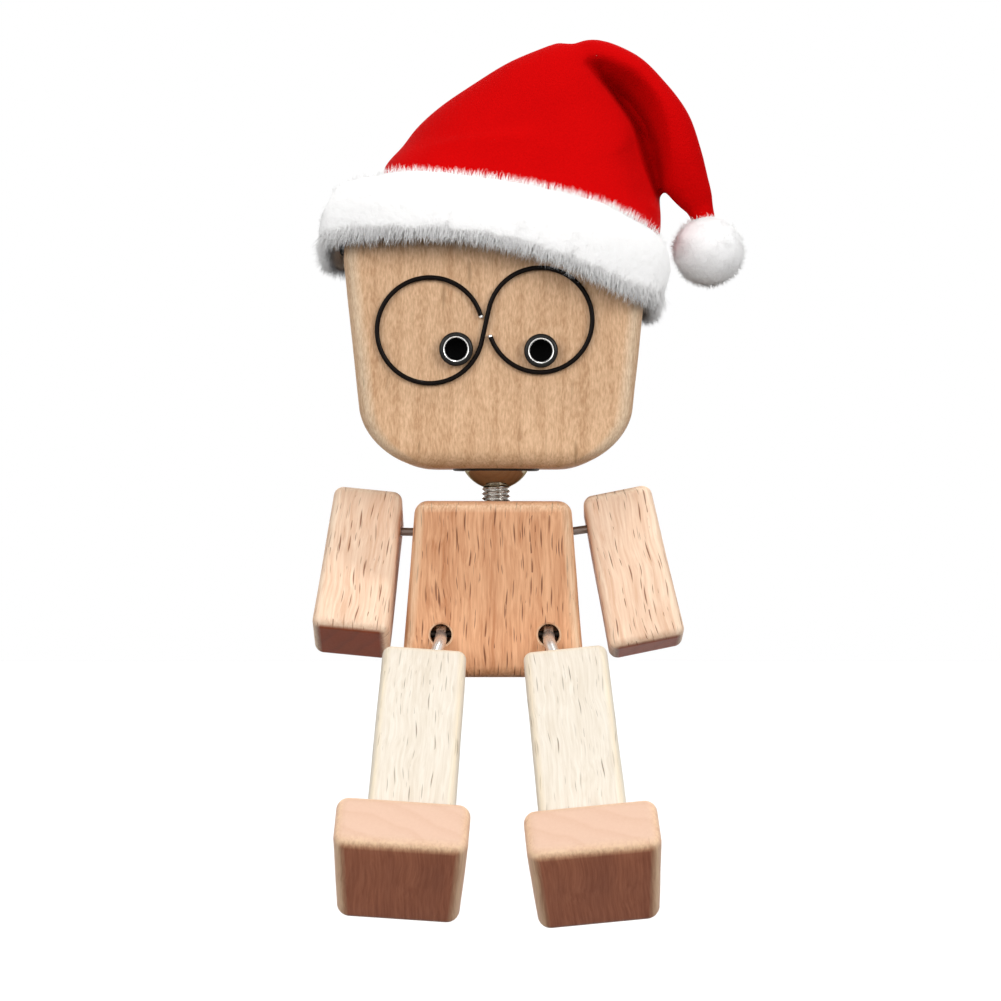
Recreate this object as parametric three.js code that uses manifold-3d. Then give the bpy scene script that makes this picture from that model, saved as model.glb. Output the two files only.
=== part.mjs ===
// A ledge-sitting block figure: turned and sawn beech blocks on steel pins, a magnet-held
// ball neck, wire spectacles, eyelet eyes and a soft pointed hat with a plush brim.
// Millimetres, +Z up, the face looks along -Y, the origin is the middle of the seat.
// Left and right are as seen from the front: left is -X.
import * as THREE from 'three';
import { RoundedBoxGeometry } from 'three/addons/geometries/RoundedBoxGeometry.js';
import { mergeVertices } from 'three/addons/utils/BufferGeometryUtils.js';
import Module from 'manifold-3d';

// Fits shared by every piece that goes into or lies against another.
const FIT = 0.3;
const GLUE_LINE = 0.2;

// Torso block, narrower at the top.
const TORSO_HEIGHT = 29.5;
const TORSO_BOTTOM_WIDTH = 30.6;
const TORSO_TOP_WIDTH = 26.0;
const TORSO_DEPTH = 20;
const TORSO_EDGE = 2.0;

// Neck: a threaded stud, a steel ball on it, and the magnet cup in the head.
const NECK_X = 0.5;
const STUD_RADIUS = 2.45;
const STUD_PITCH = 0.8;
const STUD_THREAD_DEPTH = 0.45;
const STUD_IN_TORSO = 17.5;
const STUD_THREAD_IN_TORSO = 0.6;
const STUD_BOTTOM = TORSO_HEIGHT - STUD_IN_TORSO;
const STUD_THREAD_START = TORSO_HEIGHT - STUD_THREAD_IN_TORSO;
const BALL_RADIUS = 6.2;
const BALL_ABOVE_TORSO = 8.2;
const BALL_Z = TORSO_HEIGHT + BALL_ABOVE_TORSO;
const STUD_TOP = BALL_Z - BALL_RADIUS + 0.1;
const CUP_WALL = 0.85;
const CUP_INNER_RADIUS = BALL_RADIUS + FIT;
const CUP_OUTER_RADIUS = CUP_INNER_RADIUS + CUP_WALL;
const CUP_PROUD = 0.6;
const MAGNET_RADIUS = 6.2;
const MAGNET_HEIGHT = 3.2;
const MAGNET_BOTTOM = BALL_Z + BALL_RADIUS + FIT;
const CUP_TOP = MAGNET_BOTTOM - FIT;

// Head block: wider at the brow than at the chin, with large lower corners.
const HEAD_BELOW_BALL = 2.7;
const HEAD_HEIGHT = 45;
const HEAD_BOTTOM = BALL_Z - HEAD_BELOW_BALL;
const HEAD_TOP = HEAD_BOTTOM + HEAD_HEIGHT;
const HEAD_DEPTH = 32;
const HEAD_CHIN_WIDTH = 43.2;
const HEAD_BROW_WIDTH = 50.4;
const HEAD_LOWER_RADIUS = 11;
const HEAD_UPPER_RADIUS = 10;
const HEAD_BROW_Z = HEAD_TOP - 1.1 * HEAD_UPPER_RADIUS;
const HEAD_EDGE = 2.2;

// Eyes: rolled-rim tubular eyelets let into the face.
const EYE_HOLE_RADIUS = 1.8;
const EYE_BARREL_RADIUS = 2.2;
const EYE_RIM_RADIUS = 2.8;
const EYE_PROUD = 1.7;
const EYE_DEPTH = 4;
const LEFT_EYE_X = -6.04;
const LEFT_EYE_Z = HEAD_BOTTOM + 0.433 * HEAD_HEIGHT;
const RIGHT_EYE_X = 7.91;
const RIGHT_EYE_Z = HEAD_BOTTOM + 0.427 * HEAD_HEIGHT;

// Spectacles: one spring wire bent into two loops and a slanting bridge.
const WIRE_RADIUS = 0.375;
const LEFT_LOOP_RADIUS = 8.7;
const LEFT_LOOP_X = -10.36;
const LEFT_LOOP_Z = HEAD_BOTTOM + 0.502 * HEAD_HEIGHT;
const RIGHT_LOOP_RADIUS = 8.6;
const RIGHT_LOOP_X = 7.76;
const RIGHT_LOOP_Z = HEAD_BOTTOM + 0.54 * HEAD_HEIGHT;
const LEFT_WIRE_START_DEG = 17.5;
const BRIDGE_DEG = 347.3;
const RIGHT_WIRE_END_DEG = -160;
const WIRE_STANDOFF = 0.15;

// Arms hang on steel pins in the torso's sides.
const LEFT_SHOULDER_DROP = 5.1;
const RIGHT_SHOULDER_DROP = 3.9;
const LEFT_SHOULDER_Z = TORSO_HEIGHT - LEFT_SHOULDER_DROP;
const RIGHT_SHOULDER_Z = TORSO_HEIGHT - RIGHT_SHOULDER_DROP;
const SHOULDER_PIN_RADIUS = 0.7;
const SHOULDER_PIN_IN_TORSO = 7;
const SHOULDER_PIN_IN_ARM = 8;
const ARM_DEPTH = 12;
const ARM_TOP_WIDTH = 11.6;
const ARM_BOTTOM_WIDTH = 12.8;
const ARM_LENGTH = 26.6;
const LEFT_ARM_ABOVE_PIN = 5.5;
const RIGHT_ARM_ABOVE_PIN = 4.9;
const ARM_EDGE = 1.6;
const LEFT_ARM_X = -21.6;
const LEFT_ARM_PIN_TILT_DEG = 1;
const LEFT_ARM_SPLAY_DEG = 5;
const LEFT_ARM_SWING_DEG = 28;
const RIGHT_ARM_X = 21.8;
const RIGHT_ARM_PIN_TILT_DEG = -8.4;
const RIGHT_ARM_SPLAY_DEG = -3.1;
const RIGHT_ARM_SWING_DEG = 12;

// Hips: eye pins on a cross axle, coming out of two holes in the torso's front.
const HIP_X = 9;
const HIP_OFF_CENTRE = 0.3;
const HIP_Z = 7.2;
const HIP_HOLE_RADIUS = 1.8;
const HIP_HOLE_DEPTH = 5.4;
const HIP_AXLE_RADIUS = 0.55;
const HIP_AXLE_Y = -7;
const HIP_AXLE_RIGHT_END = 12.2;
const HIP_AXLE_LEFT_INSET = 1.2;
const HIP_PIN_RADIUS = 0.9;
const HIP_EYE_RADIUS = HIP_HOLE_RADIUS - FIT;
const HIP_EYE_THICKNESS = 1.6;
const HIP_PIN_DROOP_DEG = 11;
const HIP_PIN_BEND_Y = -12.0;
const HIP_PIN_LEG_X = 10.4;
const HIP_PIN_IN_LEG = 9;

// Legs slope forward and down, rolled a little outward; each has a glued foot block.
const LEG_WIDTH = 13.8;
const LEG_DEPTH = 11;
const LEG_LENGTH = 37.5;
const LEG_EDGE = 1.5;
const LEG_SWING_DEG = 45;
const LEFT_LEG_ROLL_DEG = 3.8;
const RIGHT_LEG_ROLL_DEG = 5.5;
const LEFT_LEG_X = -11.1;
const RIGHT_LEG_X = 11.7;
const LEG_TOP_EDGE_Y = -18.4;
const LEG_TOP_EDGE_Z = 5.9;
const FOOT_TOE_WIDTH = 20.8;
const FOOT_HEEL_WIDTH = 19.0;
const FOOT_THICKNESS = 9.5;
const FOOT_LENGTH = 19.9;
const LEFT_FOOT_TOE_RISE = 7.0;
const RIGHT_FOOT_TOE_RISE = 5.7;
const LEFT_FOOT_SHIFT = -0.95;
const RIGHT_FOOT_SHIFT = 1.0;
const FOOT_EDGE = 2.0;
const DOWEL_RADIUS = 2;
const DOWEL_LENGTH = 12;

// Hat: a plush brim round the head, a pointed velour bag flopped over to the right, a pompom.
const BRIM_WIDTH = 59.6;
const BRIM_DEPTH = 43;
const BRIM_HEIGHT = 12.2;
const BRIM_THICKNESS = 6.4;
const BRIM_SQUARENESS = 6;
const BRIM_DROOP = 3.0;
const BRIM_X = NECK_X;
const BRIM_BELOW_CROWN = 6.6;
const BRIM_Z = HEAD_TOP - BRIM_BELOW_CROWN;
const BRIM_ROLL_DEG = 9;
const BRIM_PITCH_DEG = 10;
const HAT_ON_HEAD = 0.4;
const CLOTH = 1.2;
const BAG_HALF_WIDTH = 26.9;
const BAG_HALF_DEPTH = 18.1;
const BAG_HEIGHT = 33;
const SKIRT_DOWN = 4.5;
const SKIRT_UP = 2.5;
const TAIL_HALF_WIDTH = 4.3;
const TAIL_HALF_DEPTH = 4.7;
const POMPOM_RADIUS = 6.5;
const POMPOM_X = 36.4;
const POMPOM_Y = -3;
const POMPOM_BELOW_BRIM = 1.6;
const POMPOM_Z = BRIM_Z - POMPOM_BELOW_BRIM;

const wasm = await Module();
wasm.setup();

// Closed geometry to solid and back.
function solid(geometry) {
  const bare = geometry.clone();
  bare.deleteAttribute('normal');
  bare.deleteAttribute('uv');
  const merged = mergeVertices(bare, 1e-4);
  return new wasm.Manifold(new wasm.Mesh({
    numProp: 3,
    vertProperties: Float32Array.from(merged.attributes.position.array),
    triVerts: Uint32Array.from(merged.index.array),
  }));
}

function surface(body) {
  const mesh = body.getMesh();
  const geometry = new THREE.BufferGeometry();
  geometry.setAttribute('position', new THREE.BufferAttribute(Float32Array.from(mesh.vertProperties), 3));
  geometry.setIndex(new THREE.BufferAttribute(Uint32Array.from(mesh.triVerts), 1));
  geometry.computeVertexNormals();
  return geometry;
}

function cut(geometry, ...cutters) {
  let body = solid(geometry);
  for (const cutter of cutters) {
    body = body.subtract(solid(cutter));
  }
  return surface(body);
}

function join(first, ...others) {
  let body = solid(first);
  for (const other of others) {
    body = body.add(solid(other));
  }
  return surface(body);
}

function rad(degrees) {
  return THREE.MathUtils.degToRad(degrees);
}

// A rounded block whose width runs from bottomWidth to topWidth, centred on its own middle.
function taperedBlock(bottomWidth, topWidth, depth, height, edge, segments = 2) {
  const geometry = new RoundedBoxGeometry(bottomWidth, depth, height, segments, edge);
  const points = geometry.attributes.position;
  for (let i = 0; i < points.count; i += 1) {
    const up = points.getZ(i) / height + 0.5;
    const width = THREE.MathUtils.lerp(bottomWidth, topWidth, up);
    points.setX(i, points.getX(i) * width / bottomWidth);
  }
  return geometry;
}

// A round bar along +Z from z = 0.
function bar(radius, length, sides = 20) {
  const geometry = new THREE.CylinderGeometry(radius, radius, length, sides);
  geometry.rotateX(Math.PI / 2);
  geometry.translate(0, 0, length / 2);
  return geometry;
}

// A round bar along +X from x = 0.
function crossBar(radius, length, sides = 20) {
  return bar(radius, length, sides).rotateY(Math.PI / 2);
}

// A closed round wire along a curve.
function wireAlong(curve, radius, steps, sides) {
  const section = new THREE.Shape();
  section.absarc(0, 0, radius, 0, 2 * Math.PI, false);
  return new THREE.ExtrudeGeometry(section, {
    steps,
    curveSegments: sides,
    bevelEnabled: false,
    extrudePath: curve,
  });
}

// A skin through rings of points with a fan at each end.
function skinThrough(rings) {
  const count = rings[0].length;
  const positions = [];
  const index = [];
  for (const ring of rings) {
    for (const point of ring) {
      positions.push(point.x, point.y, point.z);
    }
  }
  for (let r = 0; r + 1 < rings.length; r += 1) {
    for (let i = 0; i < count; i += 1) {
      const next = (i + 1) % count;
      const a = r * count + i;
      const b = r * count + next;
      const c = a + count;
      const d = b + count;
      index.push(a, b, d, a, d, c);
    }
  }
  for (const last of [false, true]) {
    const ring = last ? rings[rings.length - 1] : rings[0];
    const base = last ? (rings.length - 1) * count : 0;
    const middle = new THREE.Vector3();
    ring.forEach((point) => middle.addScaledVector(point, 1 / count));
    const centre = positions.length / 3;
    positions.push(middle.x, middle.y, middle.z);
    for (let i = 0; i < count; i += 1) {
      const next = (i + 1) % count;
      if (last) {
        index.push(centre, base + i, base + next);
      } else {
        index.push(centre, base + next, base + i);
      }
    }
  }
  const geometry = new THREE.BufferGeometry();
  geometry.setAttribute('position', new THREE.Float32BufferAttribute(positions, 3));
  geometry.setIndex(index);
  geometry.computeVertexNormals();
  return geometry;
}

function material(color, roughness, metalness = 0) {
  return new THREE.MeshStandardMaterial({ color, roughness, metalness });
}

const beech = material(0xcf9a63, 0.6);
const paleBeech = material(0xdcb486, 0.6);
const brightSteel = material(0xb9b9b4, 0.25, 1);
const chrome = material(0xdadad8, 0.08, 1);
const darkSteel = material(0x55524d, 0.4, 1);
const blackNickel = material(0x1c1a19, 0.3, 0.9);
const blackWire = material(0x141312, 0.4, 0.6);
const redVelour = material(0xa3121c, 0.95);
const whitePlush = material(0xf2efec, 1);

const figure = new THREE.Group();

function place(parent, name, geometry, look) {
  const mesh = new THREE.Mesh(geometry, look);
  mesh.name = name;
  parent.add(mesh);
  return mesh;
}

// Frames of the limbs. A limb is built hanging straight down, swung forward, then rolled outward.
function limbFrame(x, y, z, swingDeg, rollDeg) {
  const frame = new THREE.Group();
  frame.position.set(x, y, z);
  frame.rotation.set(-rad(swingDeg), rad(rollDeg), 0, 'YXZ');
  figure.add(frame);
  frame.updateMatrixWorld(true);
  return frame;
}

const leftArmFrame = limbFrame(LEFT_ARM_X, 0, LEFT_SHOULDER_Z, LEFT_ARM_SWING_DEG, LEFT_ARM_PIN_TILT_DEG);
const rightArmFrame = limbFrame(
  RIGHT_ARM_X, 0, RIGHT_SHOULDER_Z, RIGHT_ARM_SWING_DEG, RIGHT_ARM_PIN_TILT_DEG,
);
const leftLegFrame = limbFrame(LEFT_LEG_X, LEG_TOP_EDGE_Y, LEG_TOP_EDGE_Z, LEG_SWING_DEG, LEFT_LEG_ROLL_DEG);
const rightLegFrame = limbFrame(
  RIGHT_LEG_X, LEG_TOP_EDGE_Y, LEG_TOP_EDGE_Z, LEG_SWING_DEG, -RIGHT_LEG_ROLL_DEG,
);

// Shoulder pins run along the arm frame's X, inward (side = +1 on the left) or outward.
const pinGapX = Math.abs(LEFT_ARM_X) - TORSO_TOP_WIDTH / 2;
const pinInner = pinGapX + SHOULDER_PIN_IN_TORSO;
const pinOuter = SHOULDER_PIN_IN_ARM - ARM_TOP_WIDTH / 2;

function shoulderPin(side, clearance) {
  const length = pinInner + pinOuter + 2 * clearance;
  const geometry = crossBar(SHOULDER_PIN_RADIUS + clearance, length, 16);
  geometry.translate(side > 0 ? -pinOuter - clearance : -pinInner - clearance, 0, 0);
  return geometry;
}

function inFigure(geometry, frame) {
  return geometry.clone().applyMatrix4(frame.matrixWorld);
}

function hipX(side) {
  return side * HIP_X + HIP_OFF_CENTRE;
}

// Hip pins: a flat eye on the axle, a drooping shank, a bend, then straight on into the leg.
function hipPinRoute(side, extra) {
  const eye = new THREE.Vector3(hipX(side), HIP_AXLE_Y, HIP_Z);
  const run = eye.y - HIP_PIN_BEND_Y;
  const bend = new THREE.Vector3(eye.x, HIP_PIN_BEND_Y, eye.z - run * Math.tan(rad(HIP_PIN_DROOP_DEG)));
  const slope = rad(LEG_SWING_DEG);
  const intoLeg = new THREE.Vector3(side * (HIP_PIN_LEG_X - HIP_X) / 5, -Math.sin(slope), -Math.cos(slope));
  intoLeg.normalize();
  const end = bend.clone().addScaledVector(intoLeg, 5 + HIP_PIN_IN_LEG + extra);
  const before = bend.clone().lerp(eye, 0.3);
  const after = bend.clone().addScaledVector(intoLeg, 1.6);
  const start = eye.clone().lerp(bend, 0.22);
  const route = new THREE.CurvePath();
  route.add(new THREE.LineCurve3(start, before));
  route.add(new THREE.QuadraticBezierCurve3(before, bend, after));
  route.add(new THREE.LineCurve3(after, end));
  return route;
}

function hipPin(side) {
  const ring = new THREE.Shape();
  ring.absarc(0, 0, HIP_EYE_RADIUS, 0, 2 * Math.PI, false);
  const hole = new THREE.Path();
  hole.absarc(0, 0, HIP_AXLE_RADIUS + FIT, 0, 2 * Math.PI, true);
  ring.holes.push(hole);
  const eye = new THREE.ExtrudeGeometry(ring, {
    depth: HIP_EYE_THICKNESS,
    bevelEnabled: false,
    curveSegments: 10,
  });
  eye.translate(0, 0, -HIP_EYE_THICKNESS / 2);
  eye.rotateY(Math.PI / 2);
  eye.translate(hipX(side), HIP_AXLE_Y, HIP_Z);
  const axleWay = crossBar(HIP_AXLE_RADIUS + FIT, 6, 20).translate(hipX(side) - 3, HIP_AXLE_Y, HIP_Z);
  const shank = wireAlong(hipPinRoute(side, 0), HIP_PIN_RADIUS, 16, 6);
  return cut(join(eye, shank), axleWay);
}

// Torso with its neck bore, shoulder bores, hip holes and the cross bore of the hip axle.
const torsoBlock = taperedBlock(
  TORSO_BOTTOM_WIDTH, TORSO_TOP_WIDTH, TORSO_DEPTH, TORSO_HEIGHT, TORSO_EDGE,
).translate(0, 0, TORSO_HEIGHT / 2);
const neckBore = bar(STUD_RADIUS + FIT, TORSO_HEIGHT, 24).translate(NECK_X, 0, STUD_BOTTOM - FIT);
const hipHoles = [-1, 1].map((side) => bar(HIP_HOLE_RADIUS, HIP_HOLE_DEPTH + 1, 28)
  .rotateX(Math.PI / 2)
  .translate(hipX(side), -TORSO_DEPTH / 2 + HIP_HOLE_DEPTH, HIP_Z));
const axleLeftEnd = -TORSO_BOTTOM_WIDTH / 2 + HIP_AXLE_LEFT_INSET + 0.6;
const axleBore = crossBar(HIP_AXLE_RADIUS + FIT, HIP_AXLE_RIGHT_END + FIT + TORSO_BOTTOM_WIDTH, 20)
  .translate(-TORSO_BOTTOM_WIDTH, HIP_AXLE_Y, HIP_Z);
place(figure, 'torso_block', cut(
  torsoBlock,
  neckBore,
  inFigure(shoulderPin(1, FIT), leftArmFrame),
  inFigure(shoulderPin(-1, FIT), rightArmFrame),
  ...hipHoles,
  axleBore,
), beech);
place(figure, 'hip_axle', crossBar(HIP_AXLE_RADIUS, HIP_AXLE_RIGHT_END - axleLeftEnd, 16)
  .translate(axleLeftEnd, HIP_AXLE_Y, HIP_Z), brightSteel);

// Neck stud: a plain shank with a rolled thread at the top and a hollow seat under the ball.
function threadedStud() {
  const sides = 18;
  const rowStep = STUD_PITCH / 6;
  const rows = [STUD_BOTTOM, STUD_THREAD_START - STUD_PITCH];
  for (let z = STUD_THREAD_START; z < STUD_TOP; z += rowStep) {
    rows.push(z);
  }
  const rings = rows.map((z) => {
    const ring = [];
    for (let i = 0; i < sides; i += 1) {
      const turn = i / sides;
      const wave = 0.5 - 0.5 * Math.cos(2 * Math.PI * (z / STUD_PITCH - turn));
      const depth = z < STUD_THREAD_START ? 0 : STUD_THREAD_DEPTH * wave;
      const radius = STUD_RADIUS - depth;
      const angle = 2 * Math.PI * turn;
      ring.push(new THREE.Vector3(radius * Math.cos(angle), radius * Math.sin(angle), z));
    }
    return ring;
  });
  const seat = new THREE.SphereGeometry(BALL_RADIUS + FIT, 32, 24).translate(0, 0, BALL_Z);
  return cut(skinThrough(rings), seat).translate(NECK_X, 0, 0);
}

place(figure, 'neck_stud', threadedStud(), brightSteel);
place(figure, 'neck_ball', new THREE.SphereGeometry(BALL_RADIUS, 24, 16)
  .translate(NECK_X, 0, BALL_Z), chrome);

// Head outline seen from the front, and its side profile; grow widens both for the hat's fit.
function headFront(grow) {
  const chin = HEAD_CHIN_WIDTH / 2 + grow;
  const brow = HEAD_BROW_WIDTH / 2 + grow;
  const bottom = HEAD_BOTTOM - grow;
  const top = HEAD_TOP + grow;
  const low = HEAD_LOWER_RADIUS + grow;
  const high = HEAD_UPPER_RADIUS + grow;
  const lean = (brow - chin) / (HEAD_BROW_Z - bottom);
  const sideLow = chin + lean * low * 0.9;
  const outline = new THREE.Shape();
  outline.moveTo(-(chin - low), bottom);
  outline.lineTo(chin - low, bottom);
  outline.bezierCurveTo(
    chin - low * 0.45, bottom,
    sideLow - lean * low * 0.45, bottom + low * 0.45,
    sideLow, bottom + low * 0.9,
  );
  outline.lineTo(brow, HEAD_BROW_Z);
  outline.lineTo(brow, top - high);
  outline.absarc(brow - high, top - high, high, 0, Math.PI / 2, false);
  outline.lineTo(-(brow - high), top);
  outline.absarc(-(brow - high), top - high, high, Math.PI / 2, Math.PI, false);
  outline.lineTo(-brow, HEAD_BROW_Z);
  outline.lineTo(-sideLow, bottom + low * 0.9);
  outline.bezierCurveTo(
    -(sideLow - lean * low * 0.45), bottom + low * 0.45,
    -(chin - low * 0.45), bottom,
    -(chin - low), bottom,
  );
  return outline;
}

function headBlock() {
  const front = new THREE.ExtrudeGeometry(headFront(0), {
    depth: HEAD_DEPTH - 2 * HEAD_EDGE,
    steps: 1,
    curveSegments: 8,
    bevelEnabled: true,
    bevelThickness: HEAD_EDGE,
    bevelSize: HEAD_EDGE,
    bevelOffset: -HEAD_EDGE,
    bevelSegments: 3,
  });
  front.translate(0, 0, -(HEAD_DEPTH / 2 - HEAD_EDGE));
  front.rotateX(Math.PI / 2);
  return surface(solid(front).intersect(solid(headSide(0))));
}

// The side profile runs across the whole width and only rounds the top edges.
function headSide(grow) {
  const half = HEAD_DEPTH / 2 + grow;
  const top = HEAD_TOP + grow;
  const high = HEAD_UPPER_RADIUS + grow;
  const bottom = HEAD_BOTTOM - 40;
  const profile = new THREE.Shape();
  profile.moveTo(-half, bottom);
  profile.lineTo(half, bottom);
  profile.lineTo(half, top - high);
  profile.absarc(half - high, top - high, high, 0, Math.PI / 2, false);
  profile.lineTo(-(half - high), top);
  profile.absarc(-(half - high), top - high, high, Math.PI / 2, Math.PI, false);
  profile.lineTo(-half, bottom);
  const across = 2 * HEAD_BROW_WIDTH;
  const geometry = new THREE.ExtrudeGeometry(profile, {
    depth: across,
    bevelEnabled: false,
    curveSegments: 8,
  });
  geometry.translate(0, 0, -across / 2);
  geometry.rotateX(Math.PI / 2);
  geometry.rotateZ(Math.PI / 2);
  return geometry;
}

// The space that the hat leaves for the head, open downward so that the hat lifts straight off.
function headWay() {
  const brow = HEAD_BROW_WIDTH / 2 + HAT_ON_HEAD;
  const top = HEAD_TOP + HAT_ON_HEAD;
  const high = HEAD_UPPER_RADIUS + HAT_ON_HEAD;
  const bottom = HEAD_BOTTOM;
  const outline = new THREE.Shape();
  outline.moveTo(-brow, bottom);
  outline.lineTo(brow, bottom);
  outline.lineTo(brow, top - high);
  outline.absarc(brow - high, top - high, high, 0, Math.PI / 2, false);
  outline.lineTo(-(brow - high), top);
  outline.absarc(-(brow - high), top - high, high, Math.PI / 2, Math.PI, false);
  outline.lineTo(-brow, bottom);
  const depth = HEAD_DEPTH + 2 * HAT_ON_HEAD;
  const front = new THREE.ExtrudeGeometry(outline, {
    depth: depth - 2 * HEAD_EDGE,
    curveSegments: 8,
    bevelEnabled: true,
    bevelThickness: HEAD_EDGE,
    bevelSize: HEAD_EDGE,
    bevelOffset: -HEAD_EDGE,
    bevelSegments: 2,
  });
  front.translate(0, 0, -(depth / 2 - HEAD_EDGE));
  front.rotateX(Math.PI / 2);
  return surface(solid(front).intersect(solid(headSide(HAT_ON_HEAD)))).translate(NECK_X, 0, 0);
}

// An eyelet looking along -Y: barrel into the wood, rolled rim outside.
function eyelet(x, z) {
  const rimMiddle = (EYE_HOLE_RADIUS + EYE_RIM_RADIUS) / 2;
  const rimHalf = (EYE_RIM_RADIUS - EYE_HOLE_RADIUS) / 2;
  const profile = [
    new THREE.Vector2(EYE_HOLE_RADIUS, -EYE_DEPTH),
    new THREE.Vector2(EYE_BARREL_RADIUS, -EYE_DEPTH),
    new THREE.Vector2(EYE_BARREL_RADIUS, FIT),
    new THREE.Vector2(EYE_RIM_RADIUS - 0.15, FIT),
  ];
  for (let i = 0; i <= 8; i += 1) {
    const angle = Math.PI * i / 8;
    profile.push(new THREE.Vector2(
      rimMiddle + rimHalf * Math.cos(angle),
      EYE_PROUD - rimHalf + rimHalf * Math.sin(angle),
    ));
  }
  profile.push(profile[0].clone());
  const geometry = new THREE.LatheGeometry(profile, 22);
  geometry.rotateX(Math.PI);
  geometry.translate(x, -HEAD_DEPTH / 2, z);
  return geometry;
}

const cupRecess = bar(CUP_OUTER_RADIUS + FIT, MAGNET_BOTTOM + MAGNET_HEIGHT + FIT - HEAD_BOTTOM + 5, 40)
  .translate(0, 0, HEAD_BOTTOM - 5);
const eyeBores = [[LEFT_EYE_X, LEFT_EYE_Z], [RIGHT_EYE_X, RIGHT_EYE_Z]].map(([x, z]) => bar(
  EYE_BARREL_RADIUS + FIT, EYE_DEPTH + FIT + 1, 28,
).rotateX(Math.PI / 2).translate(x - NECK_X, -HEAD_DEPTH / 2 + EYE_DEPTH + FIT, z));
place(figure, 'head_block', cut(headBlock(), cupRecess, ...eyeBores).translate(NECK_X, 0, 0), beech);

const cupProfile = [
  new THREE.Vector2(CUP_INNER_RADIUS, HEAD_BOTTOM - CUP_PROUD),
  new THREE.Vector2(CUP_OUTER_RADIUS, HEAD_BOTTOM - CUP_PROUD),
  new THREE.Vector2(CUP_OUTER_RADIUS, CUP_TOP),
  new THREE.Vector2(CUP_INNER_RADIUS, CUP_TOP),
  new THREE.Vector2(CUP_INNER_RADIUS, HEAD_BOTTOM - CUP_PROUD),
];
place(figure, 'magnet_cup', new THREE.LatheGeometry(cupProfile, 40)
  .rotateX(Math.PI / 2)
  .translate(NECK_X, 0, 0), darkSteel);
place(figure, 'head_magnet', bar(MAGNET_RADIUS, MAGNET_HEIGHT, 32)
  .translate(NECK_X, 0, MAGNET_BOTTOM), darkSteel);
place(figure, 'left_eye', eyelet(LEFT_EYE_X, LEFT_EYE_Z), blackNickel);
place(figure, 'right_eye', eyelet(RIGHT_EYE_X, RIGHT_EYE_Z), blackNickel);

// The spectacles' route: round the left loop, up the bridge, round the right loop.
function spectaclesRoute() {
  const y = -HEAD_DEPTH / 2 - WIRE_STANDOFF - WIRE_RADIUS;
  const points = [];
  const onLoop = (x, z, radius, degrees) => points.push(new THREE.Vector3(
    x + radius * Math.cos(rad(degrees)), y, z + radius * Math.sin(rad(degrees)),
  ));
  const arcSteps = 36;
  for (let i = 0; i <= arcSteps; i += 1) {
    const degrees = THREE.MathUtils.lerp(LEFT_WIRE_START_DEG, BRIDGE_DEG, i / arcSteps);
    onLoop(LEFT_LOOP_X, LEFT_LOOP_Z, LEFT_LOOP_RADIUS, degrees);
  }
  for (let i = 0; i <= arcSteps; i += 1) {
    const degrees = THREE.MathUtils.lerp(BRIDGE_DEG - 180, RIGHT_WIRE_END_DEG, i / arcSteps);
    onLoop(RIGHT_LOOP_X, RIGHT_LOOP_Z, RIGHT_LOOP_RADIUS, degrees);
  }
  return new THREE.CatmullRomCurve3(points, false, 'centripetal');
}
place(figure, 'spectacles_wire', wireAlong(spectaclesRoute(), WIRE_RADIUS, 80, 3), blackWire);

// Arms with their pins, each built hanging from the pin.
for (const [name, frame, side, splay, above] of [
  ['left', leftArmFrame, 1, LEFT_ARM_SPLAY_DEG, LEFT_ARM_ABOVE_PIN],
  ['right', rightArmFrame, -1, RIGHT_ARM_SPLAY_DEG, RIGHT_ARM_ABOVE_PIN],
]) {
  const block = taperedBlock(ARM_BOTTOM_WIDTH, ARM_TOP_WIDTH, ARM_DEPTH, ARM_LENGTH, ARM_EDGE)
    .translate(0, 0, above - ARM_LENGTH / 2)
    .rotateY(rad(splay));
  place(frame, `${name}_arm`, cut(block, shoulderPin(side, FIT)), beech);
  place(frame, `${name}_shoulder_pin`, shoulderPin(side, 0), brightSteel);
}

// Legs, feet and dowels. A leg's frame sits on the front top edge, the leg hanging from it.
for (const [name, frame, side, toeRise, shift] of [
  ['left', leftLegFrame, -1, LEFT_FOOT_TOE_RISE, LEFT_FOOT_SHIFT],
  ['right', rightLegFrame, 1, RIGHT_FOOT_TOE_RISE, RIGHT_FOOT_SHIFT],
]) {
  const toLeg = frame.matrixWorld.clone().invert();
  const pinWay = wireAlong(hipPinRoute(side, FIT), HIP_PIN_RADIUS + FIT, 16, 6).applyMatrix4(toLeg);
  const dowelWay = bar(DOWEL_RADIUS + FIT, DOWEL_LENGTH + 2 * FIT, 24)
    .translate(0, LEG_DEPTH / 2, -LEG_LENGTH - DOWEL_LENGTH / 2 - FIT);
  const leg = new RoundedBoxGeometry(LEG_WIDTH, LEG_DEPTH, LEG_LENGTH, 2, LEG_EDGE)
    .translate(0, LEG_DEPTH / 2, -LEG_LENGTH / 2);
  const foot = taperedBlock(FOOT_HEEL_WIDTH, FOOT_TOE_WIDTH, FOOT_THICKNESS, FOOT_LENGTH, FOOT_EDGE)
    .rotateX(Math.PI / 2)
    .translate(shift, FOOT_LENGTH / 2 - toeRise, -LEG_LENGTH - GLUE_LINE - FOOT_THICKNESS / 2);
  place(frame, `${name}_leg`, cut(leg, pinWay, dowelWay), paleBeech);
  place(frame, `${name}_foot`, cut(foot, dowelWay), beech);
  place(frame, `${name}_ankle_dowel`, bar(DOWEL_RADIUS, DOWEL_LENGTH, 20)
    .translate(0, LEG_DEPTH / 2, -LEG_LENGTH - DOWEL_LENGTH / 2), paleBeech);
  place(figure, `${name}_hip_pin`, hipPin(side), brightSteel);
}

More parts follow.
